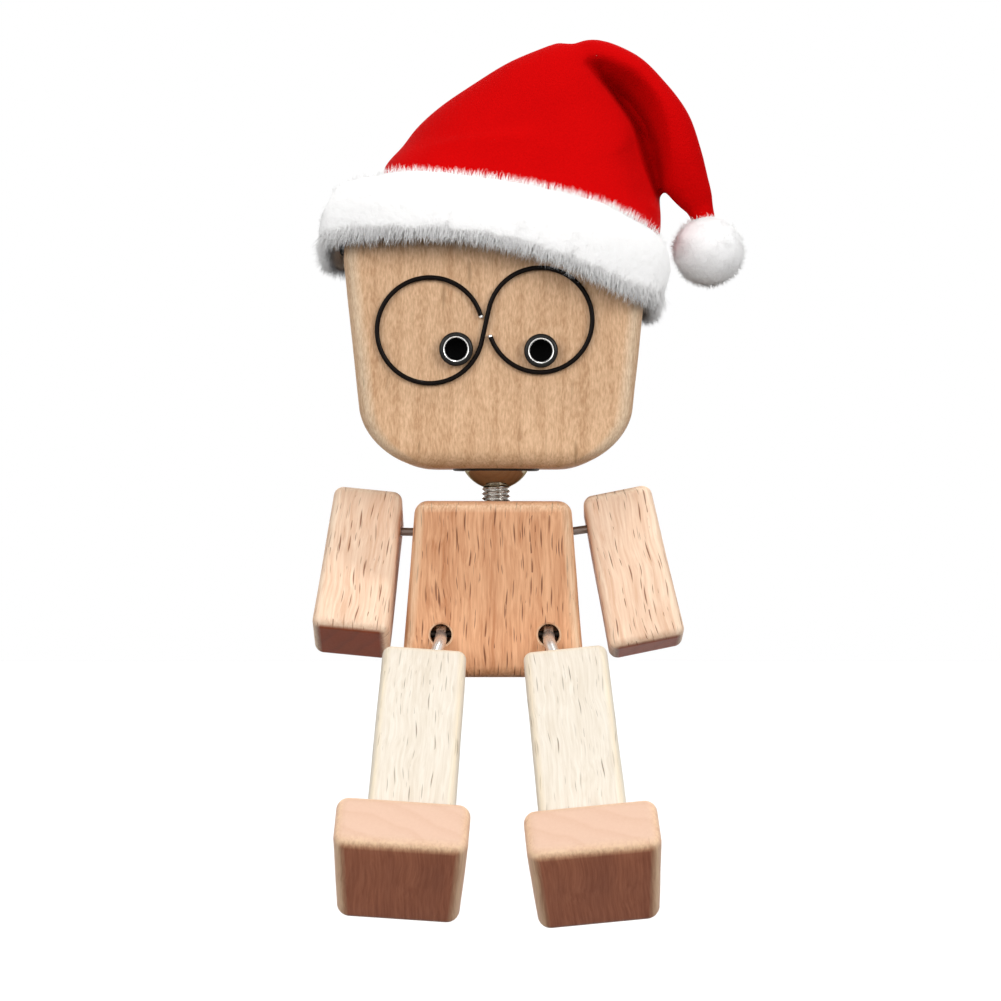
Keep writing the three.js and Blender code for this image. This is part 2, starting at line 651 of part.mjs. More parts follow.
// The hat's own frame: rolled to the right and pitched back.
const hatTurn = new THREE.Matrix4().makeRotationFromEuler(
  new THREE.Euler(-rad(BRIM_PITCH_DEG), rad(BRIM_ROLL_DEG), 0, 'YXZ'),
);
const hatMiddle = new THREE.Vector3(BRIM_X, 0, BRIM_Z);

// One ring of the bag: middle, half width along a tilted line, half depth along a pitched line.
function bagRing(middle, halfWidth, tiltDeg, halfDepth, pitchDeg, squareness, grow) {
  const turn = new THREE.Matrix4().makeRotationFromEuler(
    new THREE.Euler(-rad(pitchDeg), rad(tiltDeg), 0, 'YXZ'),
  );
  const ring = [];
  const count = 32;
  for (let i = 0; i < count; i += 1) {
    const angle = 2 * Math.PI * i / count;
    const c = Math.cos(angle);
    const s = Math.sin(angle);
    const reach = (Math.abs(c) ** squareness + Math.abs(s) ** squareness) ** (-1 / squareness);
    const point = new THREE.Vector3((halfWidth + grow) * c * reach, (halfDepth + grow) * s * reach, 0);
    ring.push(point.applyMatrix4(turn).add(middle));
  }
  return ring;
}

function bagPoint(x, y, z) {
  return new THREE.Vector3(x * BAG_HALF_WIDTH, y * BAG_HALF_DEPTH, BRIM_Z + z * BAG_HEIGHT);
}

// The standing part of the bag, from the skirt inside the brim to the fold at the top.
function bagBody(grow, skirt, peak) {
  const low = new THREE.Vector3(0, 0, skirt).applyMatrix4(hatTurn).add(hatMiddle);
  const high = new THREE.Vector3(0, 0, SKIRT_UP).applyMatrix4(hatTurn).add(hatMiddle);
  // Shares of the bag's half width, half depth and height: middle x, y, z, then the ring's
  // half width, tilt, half depth, pitch and squareness.
  const shares = [
    [0.182, 0.066, 0.206, 0.888, 12, 0.961, 8, 3.4],
    [0.234, 0.077, 0.376, 0.825, 8.5, 0.851, 6, 2.6],
    [0.264, 0.055, 0.539, 0.751, 4.5, 0.707, 4, 2.2],
    [0.305, 0.022, 0.661, 0.643, 4, 0.586, 3, 2],
    [0.368, -0.022, 0.770, 0.498, 6, 0.475, 1, 2],
    [0.435, -0.055, 0.867, 0.349, 11, 0.365, 0, 2],
    [0.506, -0.077, 0.945, 0.204, 18, 0.254, 0, 2],
    [0.565, -0.088, 1.000, 0.082, 20, 0.122, 0, 2],
  ];
  const rings = [low, high].map((middle) => bagRing(
    middle, BAG_HALF_WIDTH, BRIM_ROLL_DEG, BAG_HALF_DEPTH, BRIM_PITCH_DEG, 8, grow,
  ));
  for (const [x, y, z, halfWidth, tiltDeg, halfDepth, pitchDeg, squareness] of shares) {
    rings.push(bagRing(
      bagPoint(x, y, z), halfWidth * BAG_HALF_WIDTH, tiltDeg,
      halfDepth * BAG_HALF_DEPTH, pitchDeg, squareness, grow,
    ));
  }
  return skinThrough(peak ? rings : rings.slice(0, 8));
}

// The flopped tail, over the fold and down the right side to the pompom.
function bagTail() {
  // Shares: middle x, y, z of the bag, then half width, tilt and half depth of the tail.
  const stations = [
    [0.428, -0.066, 0.848, 0.977, 44, 0.723],
    [0.617, -0.088, 0.918, 0.930, 86, 0.894],
    [0.807, -0.122, 0.855, 0.977, 121, 0.979],
    [0.952, -0.144, 0.739, 1.000, 141, 1.000],
    [1.078, -0.155, 0.606, 1.000, 158, 0.979],
    [1.152, -0.166, 0.448, 0.977, 168, 0.915],
    [1.208, -0.166, 0.303, 0.907, 166, 0.809],
    [1.271, -0.166, 0.212, 0.698, 158, 0.638],
    [1.301, -0.166, 0.170, 0.535, 156, 0.511],
  ];
  return skinThrough(stations.map(([x, y, z, halfWidth, tiltDeg, halfDepth]) => bagRing(
    bagPoint(x, y, z), halfWidth * TAIL_HALF_WIDTH, tiltDeg, halfDepth * TAIL_HALF_DEPTH, 0, 2.2, 0,
  )));
}

const pompomRoom = new THREE.SphereGeometry(POMPOM_RADIUS + FIT, 24, 16)
  .translate(POMPOM_X, POMPOM_Y, POMPOM_Z);
const bag = join(bagBody(0, -SKIRT_DOWN, true), bagTail());
place(figure, 'hat_cone', cut(
  bag, bagBody(-CLOTH, -2 * SKIRT_DOWN, false), headWay(), pompomRoom,
), redVelour);

// The brim is a fat band round a squarish loop whose two sides hang lower than its front.
function brimBand() {
  const around = 48;
  const about = 12;
  const positions = [];
  const index = [];
  for (let i = 0; i < around; i += 1) {
    const angle = 2 * Math.PI * i / around;
    const c = Math.cos(angle);
    const s = Math.sin(angle);
    const reach = (Math.abs(c) ** BRIM_SQUARENESS + Math.abs(s) ** BRIM_SQUARENESS) ** (-1 / BRIM_SQUARENESS);
    for (let j = 0; j < about; j += 1) {
      const turn = 2 * Math.PI * j / about;
      const out = BRIM_THICKNESS / 2 * (Math.cos(turn) - 1);
      const x = (BRIM_WIDTH / 2 + out) * c * reach;
      const y = (BRIM_DEPTH / 2 + out) * s * reach;
      const droop = BRIM_DROOP * (c * reach) ** 2;
      const up = BRIM_HEIGHT / 2 * Math.sin(turn) - droop;
      const point = new THREE.Vector3(x, y, up).applyMatrix4(hatTurn).add(hatMiddle);
      positions.push(point.x, point.y, point.z);
      const nextRing = ((i + 1) % around) * about;
      const nextPoint = (j + 1) % about;
      index.push(i * about + j, nextRing + j, nextRing + nextPoint);
      index.push(i * about + j, nextRing + nextPoint, i * about + nextPoint);
    }
  }
  const geometry = new THREE.BufferGeometry();
  geometry.setAttribute('position', new THREE.Float32BufferAttribute(positions, 3));
  geometry.setIndex(index);
  geometry.computeVertexNormals();
  return geometry;
}
place(figure, 'hat_brim', cut(
  brimBand(), bagBody(FIT, -SKIRT_DOWN - FIT, true), headWay(), pompomRoom,
), whitePlush);
place(figure, 'hat_pompom', new THREE.SphereGeometry(POMPOM_RADIUS, 20, 14)
  .translate(POMPOM_X, POMPOM_Y, POMPOM_Z), whitePlush);

export default figure;
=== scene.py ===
import math

import bpy
import numpy as np
from mathutils import Matrix, Vector, noise


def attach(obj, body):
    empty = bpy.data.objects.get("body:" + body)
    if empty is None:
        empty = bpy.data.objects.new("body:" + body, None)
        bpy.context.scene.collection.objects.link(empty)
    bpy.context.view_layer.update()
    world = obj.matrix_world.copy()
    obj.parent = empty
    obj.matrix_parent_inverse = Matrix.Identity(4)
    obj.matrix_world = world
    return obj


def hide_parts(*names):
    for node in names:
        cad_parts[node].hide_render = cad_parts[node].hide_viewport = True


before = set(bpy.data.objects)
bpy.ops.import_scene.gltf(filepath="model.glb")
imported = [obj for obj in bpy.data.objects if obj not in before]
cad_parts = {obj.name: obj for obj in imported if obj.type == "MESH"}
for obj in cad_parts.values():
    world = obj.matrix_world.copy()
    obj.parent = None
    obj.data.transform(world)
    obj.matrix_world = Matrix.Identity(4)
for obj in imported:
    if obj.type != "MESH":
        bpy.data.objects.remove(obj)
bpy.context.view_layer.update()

# Camera
# The figure was seen square from the front, level with the lower torso, from about half a metre.
MM = 0.001
CAMERA_AT = (1.25, -510, 29.6)
FOCAL_PIXELS, PICTURE_PIXELS, SENSOR = 3000, 1001, 36

camera = bpy.data.objects.new("camera", bpy.data.cameras.new("camera"))
camera.data.sensor_width = SENSOR
camera.data.lens = FOCAL_PIXELS / PICTURE_PIXELS * SENSOR
camera.data.clip_start = 0.01
camera.location = [c * MM for c in CAMERA_AT]
camera.rotation_euler = (math.radians(90), 0, 0)
bpy.context.scene.collection.objects.link(camera)
bpy.context.scene.camera = camera

# Torso
# A sawn beech block, narrower at the top, its edges rounded on a sanding belt and thinly oiled.
# It is bored from above for the neck stud, at the sides for the arm pins and the hip axle, and
# in front for the two hip pins.
TORSO_HEIGHT, TORSO_BOTTOM, TORSO_TOP, TORSO_DEPTH, TORSO_EDGE = 29.5, 30.6, 26.0, 20, 2.0
FIT = 0.3
NECK_X = 0.5
STUD_RADIUS, STUD_BOTTOM = 2.45, 12
HIP_X, HIP_Z, HIP_HOLE_RADIUS, HIP_HOLE_DEPTH = (-8.7, 9.3), 7.2, 1.8, 5.4
AXLE_RADIUS, AXLE_Y, AXLE_ENDS = 0.55, -7, (-13.5, 12.2)
# Noise vectors start from the clock unless they are seeded, and every run has to make the same figure.
noise.seed_set(1)


def new_piece(name, points, faces, place=Matrix()):
    """A mesh piece from points in millimetres in its own frame, standing at place."""
    mesh = bpy.data.meshes.new(name)
    mesh.from_pydata((np.asarray(points, float) * MM).tolist(), [], faces)
    piece = bpy.data.objects.new(name, mesh)
    bpy.context.scene.collection.objects.link(piece)
    piece.matrix_world = place
    return piece


def at(x, y, z):
    """A place in the figure, in millimetres."""
    return Matrix.Translation(Vector((x, y, z)) * MM)


def turned(degrees, axis):
    return Matrix.Rotation(math.radians(degrees), 4, axis)


def compass(count):
    """Cosine and sine of count even steps round a circle."""
    return [(math.cos(math.tau * i / count), math.sin(math.tau * i / count)) for i in range(count)]


def skin(rings):
    """Points and faces of a closed form through rings of equal count."""
    count, last = len(rings[0]), len(rings) - 1
    faces = [tuple(range(count - 1, -1, -1))]
    for r in range(last):
        for i in range(count):
            a, b = r * count + i, r * count + (i + 1) % count
            faces.append((a, b, b + count, a + count))
    faces.append(tuple(range(last * count, (last + 1) * count)))
    return [p for ring in rings for p in ring], faces


def rounded_ring(z, half_x, half_y, radius, steps=6):
    """One level section of a block: a rectangle with round corners."""
    radius = max(0.02, min(radius, 0.98 * half_x, 0.98 * half_y))
    ring = []
    for corner, (sx, sy) in enumerate(((1, 1), (-1, 1), (-1, -1), (1, -1))):
        for k in range(steps + 1):
            turn = math.radians(90) * (corner + k / steps)
            ring.append((sx * (half_x - radius) + radius * math.cos(turn),
                         sy * (half_y - radius) + radius * math.sin(turn), z))
    return ring


def sanded(points, seed, depth=0.07, patch=7.0):
    """The slight unevenness that a belt leaves on a hand-held block."""
    start = Vector((seed, seed, seed))
    return [Vector(p) + depth * noise.noise_vector(Vector(p) / patch + start) for p in points]


def wood_block(name, bottom, top, depth, height, edge, place, seed):
    """A block with its length along its own Z, as wide as bottom and top say, edges rounded."""
    steps, levels = 7, []
    for k in range(steps + 1):
        turn = math.radians(90) * k / steps
        levels.append((edge * (1 - math.cos(turn)) - height / 2, edge * (1 - math.sin(turn))))
    between = [(edge + (height - 2 * edge) * k / 10 - height / 2, 0) for k in range(1, 10)]
    levels += between + [(-z, inset) for z, inset in reversed(levels)]
    rings = []
    for z, inset in levels:
        half = (bottom + (top - bottom) * (z / height + 0.5)) / 2
        rings.append(rounded_ring(z, half - inset, depth / 2 - inset, edge - inset))
    points, faces = skin(rings)
    return new_piece(name, sanded(points, seed), faces, place)


def turned_form(profile, sides=48):
    """Points and faces of a closed turned form: profile is (radius, z) from bottom to top."""
    return skin([[(r * c, r * s, z) for c, s in compass(sides)] for r, z in profile])


def rod(radius, length, sides=40):
    """Points and faces of a plain bar along +Z from z = 0, for boring."""
    return turned_form(((radius, 0), (radius, length)), sides)


def settle(piece, *steps):
    """Runs modifiers, each (kind, settings), into the piece's own mesh."""
    for kind, settings in steps:
        step = piece.modifiers.new(kind.lower(), kind)
        for key, value in settings.items():
            setattr(step, key, value)
    bpy.context.view_layer.update()
    made = bpy.data.meshes.new_from_object(piece.evaluated_get(bpy.context.evaluated_depsgraph_get()))
    piece.modifiers.clear()
    piece.data = made


def bore(piece, *bars):
    """Takes bars, each (points, faces, place), out of a piece."""
    cutters = [new_piece("bore", *bar) for bar in bars]
    settle(piece, *[("BOOLEAN", {"operation": "DIFFERENCE", "solver": "EXACT", "object": cutter})
                    for cutter in cutters])
    for cutter in cutters:
        bpy.data.objects.remove(cutter)


def shade(piece, degrees=38):
    """Smooth shading that keeps flat faces flat and edges above the angle crisp."""
    piece.data.shade_smooth()
    piece.data.set_sharp_from_angle(angle=math.radians(degrees))
    weighted = piece.modifiers.new("flat faces stay flat", "WEIGHTED_NORMAL")
    weighted.keep_sharp = True


def linear(hex_colour):
    """An sRGB hex colour as the linear colour that a socket takes."""
    channels = [int(hex_colour[i:i + 2], 16) / 255 for i in (1, 3, 5)]
    return [c / 12.92 if c <= 0.04045 else ((c + 0.055) / 1.055) ** 2.4 for c in channels] + [1.0]


def add(tree, kind, inputs=None, **settings):
    """Adds a node with its settings. An input is a constant, a socket or a node's first output."""
    made = tree.nodes.new("ShaderNode" + kind)
    for key, value in settings.items():
        setattr(made, key, value)
    for key, value in (inputs or {}).items():
        if isinstance(value, bpy.types.Node):
            value = value.outputs[0]
        if isinstance(value, bpy.types.NodeSocket):
            tree.links.new(value, made.inputs[key])
        else:
            made.inputs[key].default_value = value
    return made


def new_material(name):
    made = bpy.data.materials.new(name)
    made.use_nodes = True
    made.node_tree.nodes.clear()
    return made, made.node_tree


def reckon(tree, operation, *values, **settings):
    """A sum on sockets and constants."""
    return add(tree, "Math", dict(enumerate(values)), operation=operation, **settings)


def vector(tree, operation, *values):
    """The same on vectors."""
    return add(tree, "VectorMath", dict(enumerate(values)), operation=operation)


def graded(tree, value, low=0.0, high=1.0, to_low=0.0, to_high=1.0):
    """A value carried from one range to another, and held at its ends."""
    return add(tree, "MapRange", {0: value, 1: low, 2: high, 3: to_low, 4: to_high})


def blend(tree, share, *ends):
    """A colour between two, each a socket or an sRGB hex colour."""
    first, second = [linear(c) if isinstance(c, str) else c for c in ends]
    return add(tree, "Mix", {0: share, 6: first, 7: second}, data_type="RGBA").outputs[2]


def streaks(tree, where, stretch, detail, roughness=0.5):
    """Noise with its grains drawn out: stretch is how many there are to a unit of where, each way."""
    return add(tree, "TexNoise", {0: vector(tree, "MULTIPLY", where, stretch), "Scale": 1.0,
                                  "Detail": detail, "Roughness": roughness})


def finished(made, inputs):
    """The material, with a surface of these inputs."""
    surface = add(made.node_tree, "BsdfPrincipled", inputs)
    add(made.node_tree, "OutputMaterial", {0: surface})
    return made


def beech(name, pale, dark, fleck, start, flecks=0.7, ray=(0.34, 4.2), soft=0.35, rings=0.3, hair=(0.42, 9),
          end=None, end_way=1, sole=None, edge=None):
    """Fine-sanded beech with a thin matt oil, its grain along the piece's own Z.
    The eye sees warm faint growth rings, hair-fine fibres and the short dark ray flecks: ray and hair
    are the width and length of a fleck and of a fibre in millimetres, flecks is the share of places
    that have one. end is the colour of end grain at its own end_way end, partly painted shade where
    that end faces down, sole a painted shade, darker and redder, on the side towards its own -Y, and
    edge a painted highlight on the long and the upper edges, where light from the sides and above
    catches the rounding."""
    made, tree = new_material(name)
    where = add(tree, "TexCoord")
    grain = vector(tree, "MULTIPLY_ADD", where.outputs["Object"], (1000, 1000, 1000), start)
    facing = add(tree, "SeparateXYZ", {0: where.outputs["Normal"]})
    sideways = reckon(tree, "ABSOLUTE", facing.outputs[0])
    side_on = reckon(tree, "GREATER_THAN", sideways, 0.6)
    end_on = graded(tree, reckon(tree, "MULTIPLY", facing.outputs[2], end_way), 0.75, 0.97)
    # The fibres lean this way and that by a third of a millimetre.
    sway = streaks(tree, grain, (1 / 7, 1 / 7, 1 / 9), 1.0)
    lean = vector(tree, "MULTIPLY_ADD", sway.outputs[1], (1.7, 1.7, 0), grain)
    # Growth rings 3.4 mm apart about a pith 46 mm off, wandering by a millimetre or two.
    wander = streaks(tree, grain, (1 / 9, 1 / 9, 1 / 45), 2.0)
    radius = vector(tree, "MULTIPLY_ADD", grain, (1, 1, 0), (21, 41, 0))
    reach = vector(tree, "LENGTH", radius).outputs[1]
    ring = reckon(tree, "MULTIPLY_ADD", wander, 1.1, reckon(tree, "DIVIDE", reach, 3.4))
    late = add(tree, "ValToRGB", {0: reckon(tree, "FRACT", ring)})
    late.color_ramp.elements[1].position = 0.85
    late.color_ramp.elements.new(0.5).color = (0.2, 0.2, 0.2, 1)
    late.color_ramp.elements.new(1.0).color = (0, 0, 0, 1)
    fibre = streaks(tree, lean, (1 / hair[0], 1 / hair[0], 1 / hair[1]), 4.0, 0.62)
    cloud = streaks(tree, grain, (1 / 6, 1 / 6, 1 / 26), 3.0)
    # Ray flecks, one at most in each cell, in a coarse layer and in one of half its size.
    flecked = None
    for part in (1.0, 0.55):
        wide, long = 4.6 * ray[0] * part, 1.5 * ray[1] * part
        cell = vector(tree, "MULTIPLY", lean, (1 / wide, 1 / wide, 1 / long))
        spot = add(tree, "TexVoronoi", {0: cell, "Scale": 1.0, "Randomness": 1.0})
        away = vector(tree, "SUBTRACT", cell, spot.outputs["Position"])
        narrow = add(tree, "Mix", {0: side_on, 4: (9.2, 0, 3.0), 5: (0, 9.2, 3.0)}, data_type="VECTOR")
        off = vector(tree, "ABSOLUTE", vector(tree, "MULTIPLY", away, narrow.outputs[1]))
        axes = add(tree, "SeparateXYZ", {0: off}).outputs
        aside = reckon(tree, "ADD", axes[0], axes[1])
        pick = add(tree, "SeparateColor", {0: spot.outputs["Color"]})
        lens = reckon(tree, "MULTIPLY_ADD", axes[2], axes[2], aside)
        size = graded(tree, pick.outputs[1], to_low=0.45, to_high=1.25)
        shape = graded(tree, reckon(tree, "DIVIDE", lens, size), 1.0, soft)
        chosen = graded(tree, pick, 1 - flecks * part, 1.25 - flecks * part)
        layer = reckon(tree, "MULTIPLY", shape, chosen)
        flecked = layer if flecked is None else reckon(tree, "MAXIMUM", flecked, layer)
    clouded = reckon(tree, "MULTIPLY_ADD", cloud, 0.9, reckon(tree, "MULTIPLY_ADD", fibre, 2.5, -1.32))
    tone = reckon(tree, "MULTIPLY_ADD", late, rings, clouded, use_clamp=True)
    along = blend(tree, tone, pale, dark)
    marked = blend(tree, reckon(tree, "MULTIPLY", flecked, 0.9), along, fleck)
    # End grain drinks more oil and goes darker, with the rings plainer; where that end faces down, as on
    # the arms, the dark is partly painted shade.
    end_fibre = reckon(tree, "MULTIPLY", fibre, 0.4)
    end_tone = reckon(tree, "MULTIPLY_ADD", late, rings, end_fibre, use_clamp=True)
    colour = blend(tree, end_on, marked, blend(tree, end_tone, *(end or (pale, dark))))
    # A painted shade, darker and redder, on the side towards the piece's own -Y, which on the feet is the
    # sole.
    if sole:
        below = graded(tree, facing.outputs[1], -0.7, -0.95)
        colour = blend(tree, below, colour, blend(tree, tone, *sole))
    # A painted highlight on the rounded long and upper edges, where light from the sides and above catches
    # them.
    if edge:
        slant = reckon(tree, "MAXIMUM", sideways, facing.outputs[2])
        near, past = graded(tree, slant, 0.02, 0.55, 0.0, 0.7), graded(tree, slant, 1.0, 0.6)
        patchy = graded(tree, fibre, 0.35, 0.6, 1.0, 0.5)
        edge_highlight = reckon(tree, "MULTIPLY", reckon(tree, "MULTIPLY", near, past), patchy)
        colour = blend(tree, edge_highlight, colour, edge)
    height = reckon(tree, "MULTIPLY_ADD", flecked, -0.6, fibre)
    grooves = add(tree, "Bump", {"Strength": 0.25, "Distance": 0.00012, "Height": height})
    return finished(made, {"Base Color": colour, "Roughness": graded(tree, fibre, to_low=0.5, to_high=0.68),
                           "Normal": grooves, "IOR": 1.5, "Specular IOR Level": 0.35})


def dress(piece, node, slot, body, *materials):
    """Gives a piece its materials, hides the solid that it stands for and hangs it on its body. slot is not
    used.
    Pile has no solid of its own, so its node is None."""
    for made in materials:
        piece.data.materials.append(made)
    if node:
        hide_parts(node)
    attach(piece, body)


def limb_place(x, y, z, swing, roll):
    """Where a limb's own frame stands: swung forward, then rolled sideways."""
    return at(x, y, z) @ turned(roll, "Y") @ turned(-swing, "X")


LEFT_ARM = limb_place(-21.6, 0, 24.4, 28, 1)
RIGHT_ARM = limb_place(21.8, 0, 25.6, 12, -8.4)
PIN_RADIUS, PIN_INNER, PIN_OUTER = 0.7, 15.6, 2.2

torso = wood_block("torso", TORSO_BOTTOM, TORSO_TOP, TORSO_DEPTH, TORSO_HEIGHT, TORSO_EDGE,
                   at(0, 0, TORSO_HEIGHT / 2), 3)
pin_way = rod(PIN_RADIUS + FIT, PIN_INNER + PIN_OUTER + 2 * FIT)
left_pin_way = LEFT_ARM @ at(-PIN_OUTER - FIT, 0, 0) @ turned(90, "Y")
right_pin_way = RIGHT_ARM @ at(-PIN_INNER - FIT, 0, 0) @ turned(90, "Y")
bore(torso,
     (*rod(STUD_RADIUS + FIT, 30), at(NECK_X, 0, STUD_BOTTOM - FIT)),
     (*pin_way, left_pin_way), (*pin_way, right_pin_way),
     *[(*turned_form(((HIP_HOLE_RADIUS, 0), (HIP_HOLE_RADIUS, HIP_HOLE_DEPTH - 0.3),
                      (HIP_HOLE_RADIUS + 0.7, HIP_HOLE_DEPTH + 0.4))),
        at(x, HIP_HOLE_DEPTH - TORSO_DEPTH / 2, HIP_Z) @ turned(90, "X")) for x in HIP_X],
     (*rod(AXLE_RADIUS + FIT, AXLE_ENDS[1] + FIT + 30), at(-30, AXLE_Y, HIP_Z) @ turned(90, "Y")))
shade(torso)
# edge is a painted highlight on the torso's rounded edges.
dress(torso, "torso_block", "beech", "torso",
      beech("oiled_beech_torso", "#E4AF86", "#BD8057", "#6A381B", (3, 11, 40), edge="#F6D9B6"))

# Hip axle
# A length of wire pushed in from the left through both hip pins' eyes, coloured dark as a painted
# shade so that it reads as the shadowed inside of the hip holes.


def drawn_steel(name, bright, dull, roughness, metal=1.0):
    """Bright drawn steel wire: fine lines along its length, here 0.25 mm wide so that they show."""
    made, tree = new_material(name)
    lines = streaks(tree, add(tree, "TexCoord").outputs["Object"], (4000, 4000, 180), 3.0)
    rough = graded(tree, lines, to_low=roughness * 0.7, to_high=roughness * 1.4)
    return finished(made, {"Base Color": blend(tree, lines, bright, dull), "Metallic": metal,
                           "Roughness": rough})


def pin_profile(radius, length):
    """A cut pin with its ends broken by a small chamfer."""
    small = 0.25 * radius
    return [(radius - small, 0), (radius, small), (radius, length - small), (radius - small, length)]


axle = new_piece("hip_axle_wire", *turned_form(pin_profile(AXLE_RADIUS, AXLE_ENDS[1] - AXLE_ENDS[0]), 24),
                 at(AXLE_ENDS[0], AXLE_Y, HIP_Z) @ turned(90, "Y"))
shade(axle)
dress(axle, "hip_axle", "bright_steel", "torso", drawn_steel("dark_axle_wire_painted_shade", "#4A4540", "#2E2A27", 0.55))

# Neck stud
# A 5 mm bright steel stud with a rolled 0.8 mm thread, screwed down into the torso; its top is
# hollowed to seat the ball.
STUD_PITCH, THREAD_DEPTH, STUD_SIDES, STUD_ROWS = 0.8, 0.45, 48, 200
BALL_RADIUS, BALL_Z = 6.2, 37.7


def threaded_stud():
    rings = []
    top = BALL_Z - BALL_RADIUS + 0.52
    for row in range(STUD_ROWS + 1):
        z = STUD_BOTTOM + (top - STUD_BOTTOM) * row / STUD_ROWS
        ring = []
        for i, (c, s) in enumerate(compass(STUD_SIDES)):
            phase = (z / STUD_PITCH - i / STUD_SIDES) % 1
            groove = max(0.0, 1 - abs(phase - 0.5) / 0.42) ** 0.9
            radius = STUD_RADIUS - THREAD_DEPTH * groove
            seat = BALL_Z - math.sqrt(BALL_RADIUS ** 2 - radius ** 2) - 0.02
            ring.append((radius * c, radius * s, min(seat, z)))
        rings.append(ring)
    return skin(rings)


stud = new_piece("neck_stud_thread", *threaded_stud(), at(NECK_X, 0, 0))
shade(stud, 60)
dress(stud, "neck_stud", "bright_steel", "stud",
      drawn_steel("rolled_bright_steel", "#DEDCD8", "#8E8A84", 0.2))

# Neck ball
# A polished chrome steel ball with a small flat where it sits on the stud.
BALL_FLAT = 0.105


def polished_chrome():
    """Polished chrome steel: a mirror with faint hairline scratches, 0.1 mm wide, its base colour and
    specular tint warmed as a painted reflection of the wood round it.
    """
    made, tree = new_material("polished_chrome_steel")
    scratch = streaks(tree, add(tree, "TexCoord").outputs["Object"], (900, 9000, 900), 2.0)
    return finished(made, {"Base Color": blend(tree, scratch, "#C8BEAA", "#ACA28E"), "Metallic": 1.0,
                           "Roughness": graded(tree, scratch, 0.35, 0.8, 0.1, 0.2),
                           "Specular Tint": linear("#8C8272")})


profile = [(BALL_RADIUS * math.cos(a), BALL_RADIUS * math.sin(a))
           for a in np.linspace(-math.pi / 2 + BALL_FLAT, math.pi / 2 - 0.02, 40)]
ball = new_piece("neck_ball_polished", *turned_form(profile, 72), at(NECK_X, 0, BALL_Z))
shade(ball)
dress(ball, "neck_ball", "chrome", "ball", polished_chrome())

# Head
# A thick beech block with big lower corners and softly rounded edges, sanded and oiled as the torso.
# The magnet and its cup are let into its underside, and the two eyelets into its face.
HEAD_BOTTOM, HEAD_TOP, HEAD_DEPTH, HEAD_EDGE = 35, 80, 32, 3.0
CHIN, BROW, LOWER, UPPER = 21.6, 25.2, 11, 10
BROW_Z = HEAD_TOP - 1.1 * UPPER
CUP_INNER, CUP_OUTER, CUP_PROUD = BALL_RADIUS + FIT, BALL_RADIUS + FIT + 0.85, 0.4
MAGNET_BOTTOM, MAGNET_HEIGHT, MAGNET_RADIUS = BALL_Z + BALL_RADIUS + FIT, 3.2, 6.2
EYES = ((-6.04, HEAD_BOTTOM + 19.485), (7.91, HEAD_BOTTOM + 19.215))
EYE_HOLE, EYE_BARREL, EYE_RIM, EYE_PROUD, EYE_DEPTH = 1.8, 2.2, 2.8, 1.7, 4
HEAD_MIDDLE, FACE_Y = 57.5, -HEAD_DEPTH / 2


def head_levels():
    """(z, half width) up the head's outline: lower corner, straight side, upper corner."""
    lean = (BROW - CHIN) / (BROW_Z - HEAD_BOTTOM)
    side = CHIN + lean * LOWER * 0.9
    curve = np.array([(CHIN - LOWER, HEAD_BOTTOM), (CHIN - LOWER * 0.45, HEAD_BOTTOM),
                      (side - lean * LOWER * 0.45, HEAD_BOTTOM + LOWER * 0.45),
                      (side, HEAD_BOTTOM + LOWER * 0.9)])
    levels = []
    for t in np.linspace(0, 1, 26) ** 0.85:
        weights = ((1 - t) ** 3, 3 * t * (1 - t) ** 2, 3 * t * t * (1 - t), t ** 3)
        x, z = sum(w * p for w, p in zip(weights, curve))
        levels.append((z, x))
    levels += [(side_z, side + (BROW - side) * (side_z - levels[-1][0]) / (BROW_Z - levels[-1][0]))
               for side_z in np.linspace(levels[-1][0], BROW_Z, 12)[1:]]
    levels += [(HEAD_TOP - UPPER + UPPER * math.sin(a), BROW - UPPER + UPPER * math.cos(a))
               for a in np.linspace(0, math.pi / 2, 16)]
    return levels


def head_block():
    rings = []
    for z, half in head_levels():
        up, down = z - HEAD_BOTTOM, HEAD_TOP - z
        deep = HEAD_DEPTH / 2
        if up < HEAD_EDGE:
            deep -= HEAD_EDGE - math.sqrt(max(0, HEAD_EDGE ** 2 - (HEAD_EDGE - up) ** 2))
        if down < UPPER:
            deep -= UPPER - math.sqrt(max(0, UPPER ** 2 - (UPPER - down) ** 2))
        rings.append(rounded_ring(z - HEAD_MIDDLE, half, deep, HEAD_EDGE, 8))
    points, faces = skin(rings)
    return new_piece("head", sanded(points, 9), faces, at(NECK_X, 0, HEAD_MIDDLE))


head = head_block()
bore(head,
     (*rod(CUP_OUTER + FIT, MAGNET_BOTTOM + MAGNET_HEIGHT + FIT - 30, 64), at(NECK_X, 0, 30)),
     *[(*rod(EYE_BARREL + FIT, EYE_DEPTH + FIT + 2), at(x, EYE_DEPTH + FIT + FACE_Y, z) @ turned(90, "X"))
       for x, z in EYES])
shade(head)
# edge is a painted highlight on the head's rounded edges.
dress(head, "head_block", "beech", "head",
      beech("oiled_beech_head", "#E2BB95", "#B88C65", "#94704B", (60, 20, 7),
            flecks=0.28, ray=(0.95, 5.0), soft=0.0, hair=(0.3, 1.3), edge="#F8E4C6"))

# Magnet and its cup
# A dull-plated disc magnet pressed over the ball, in a spun steel cup whose lip shows under the head.
CUP_LIP = 0.3


def specks(tree, scale, detail):
    """Even noise in the piece's own frame, scale grains to the metre."""
    where = add(tree, "TexCoord").outputs["Object"]
    return add(tree, "TexNoise", {0: where, "Scale": scale, "Detail": detail})


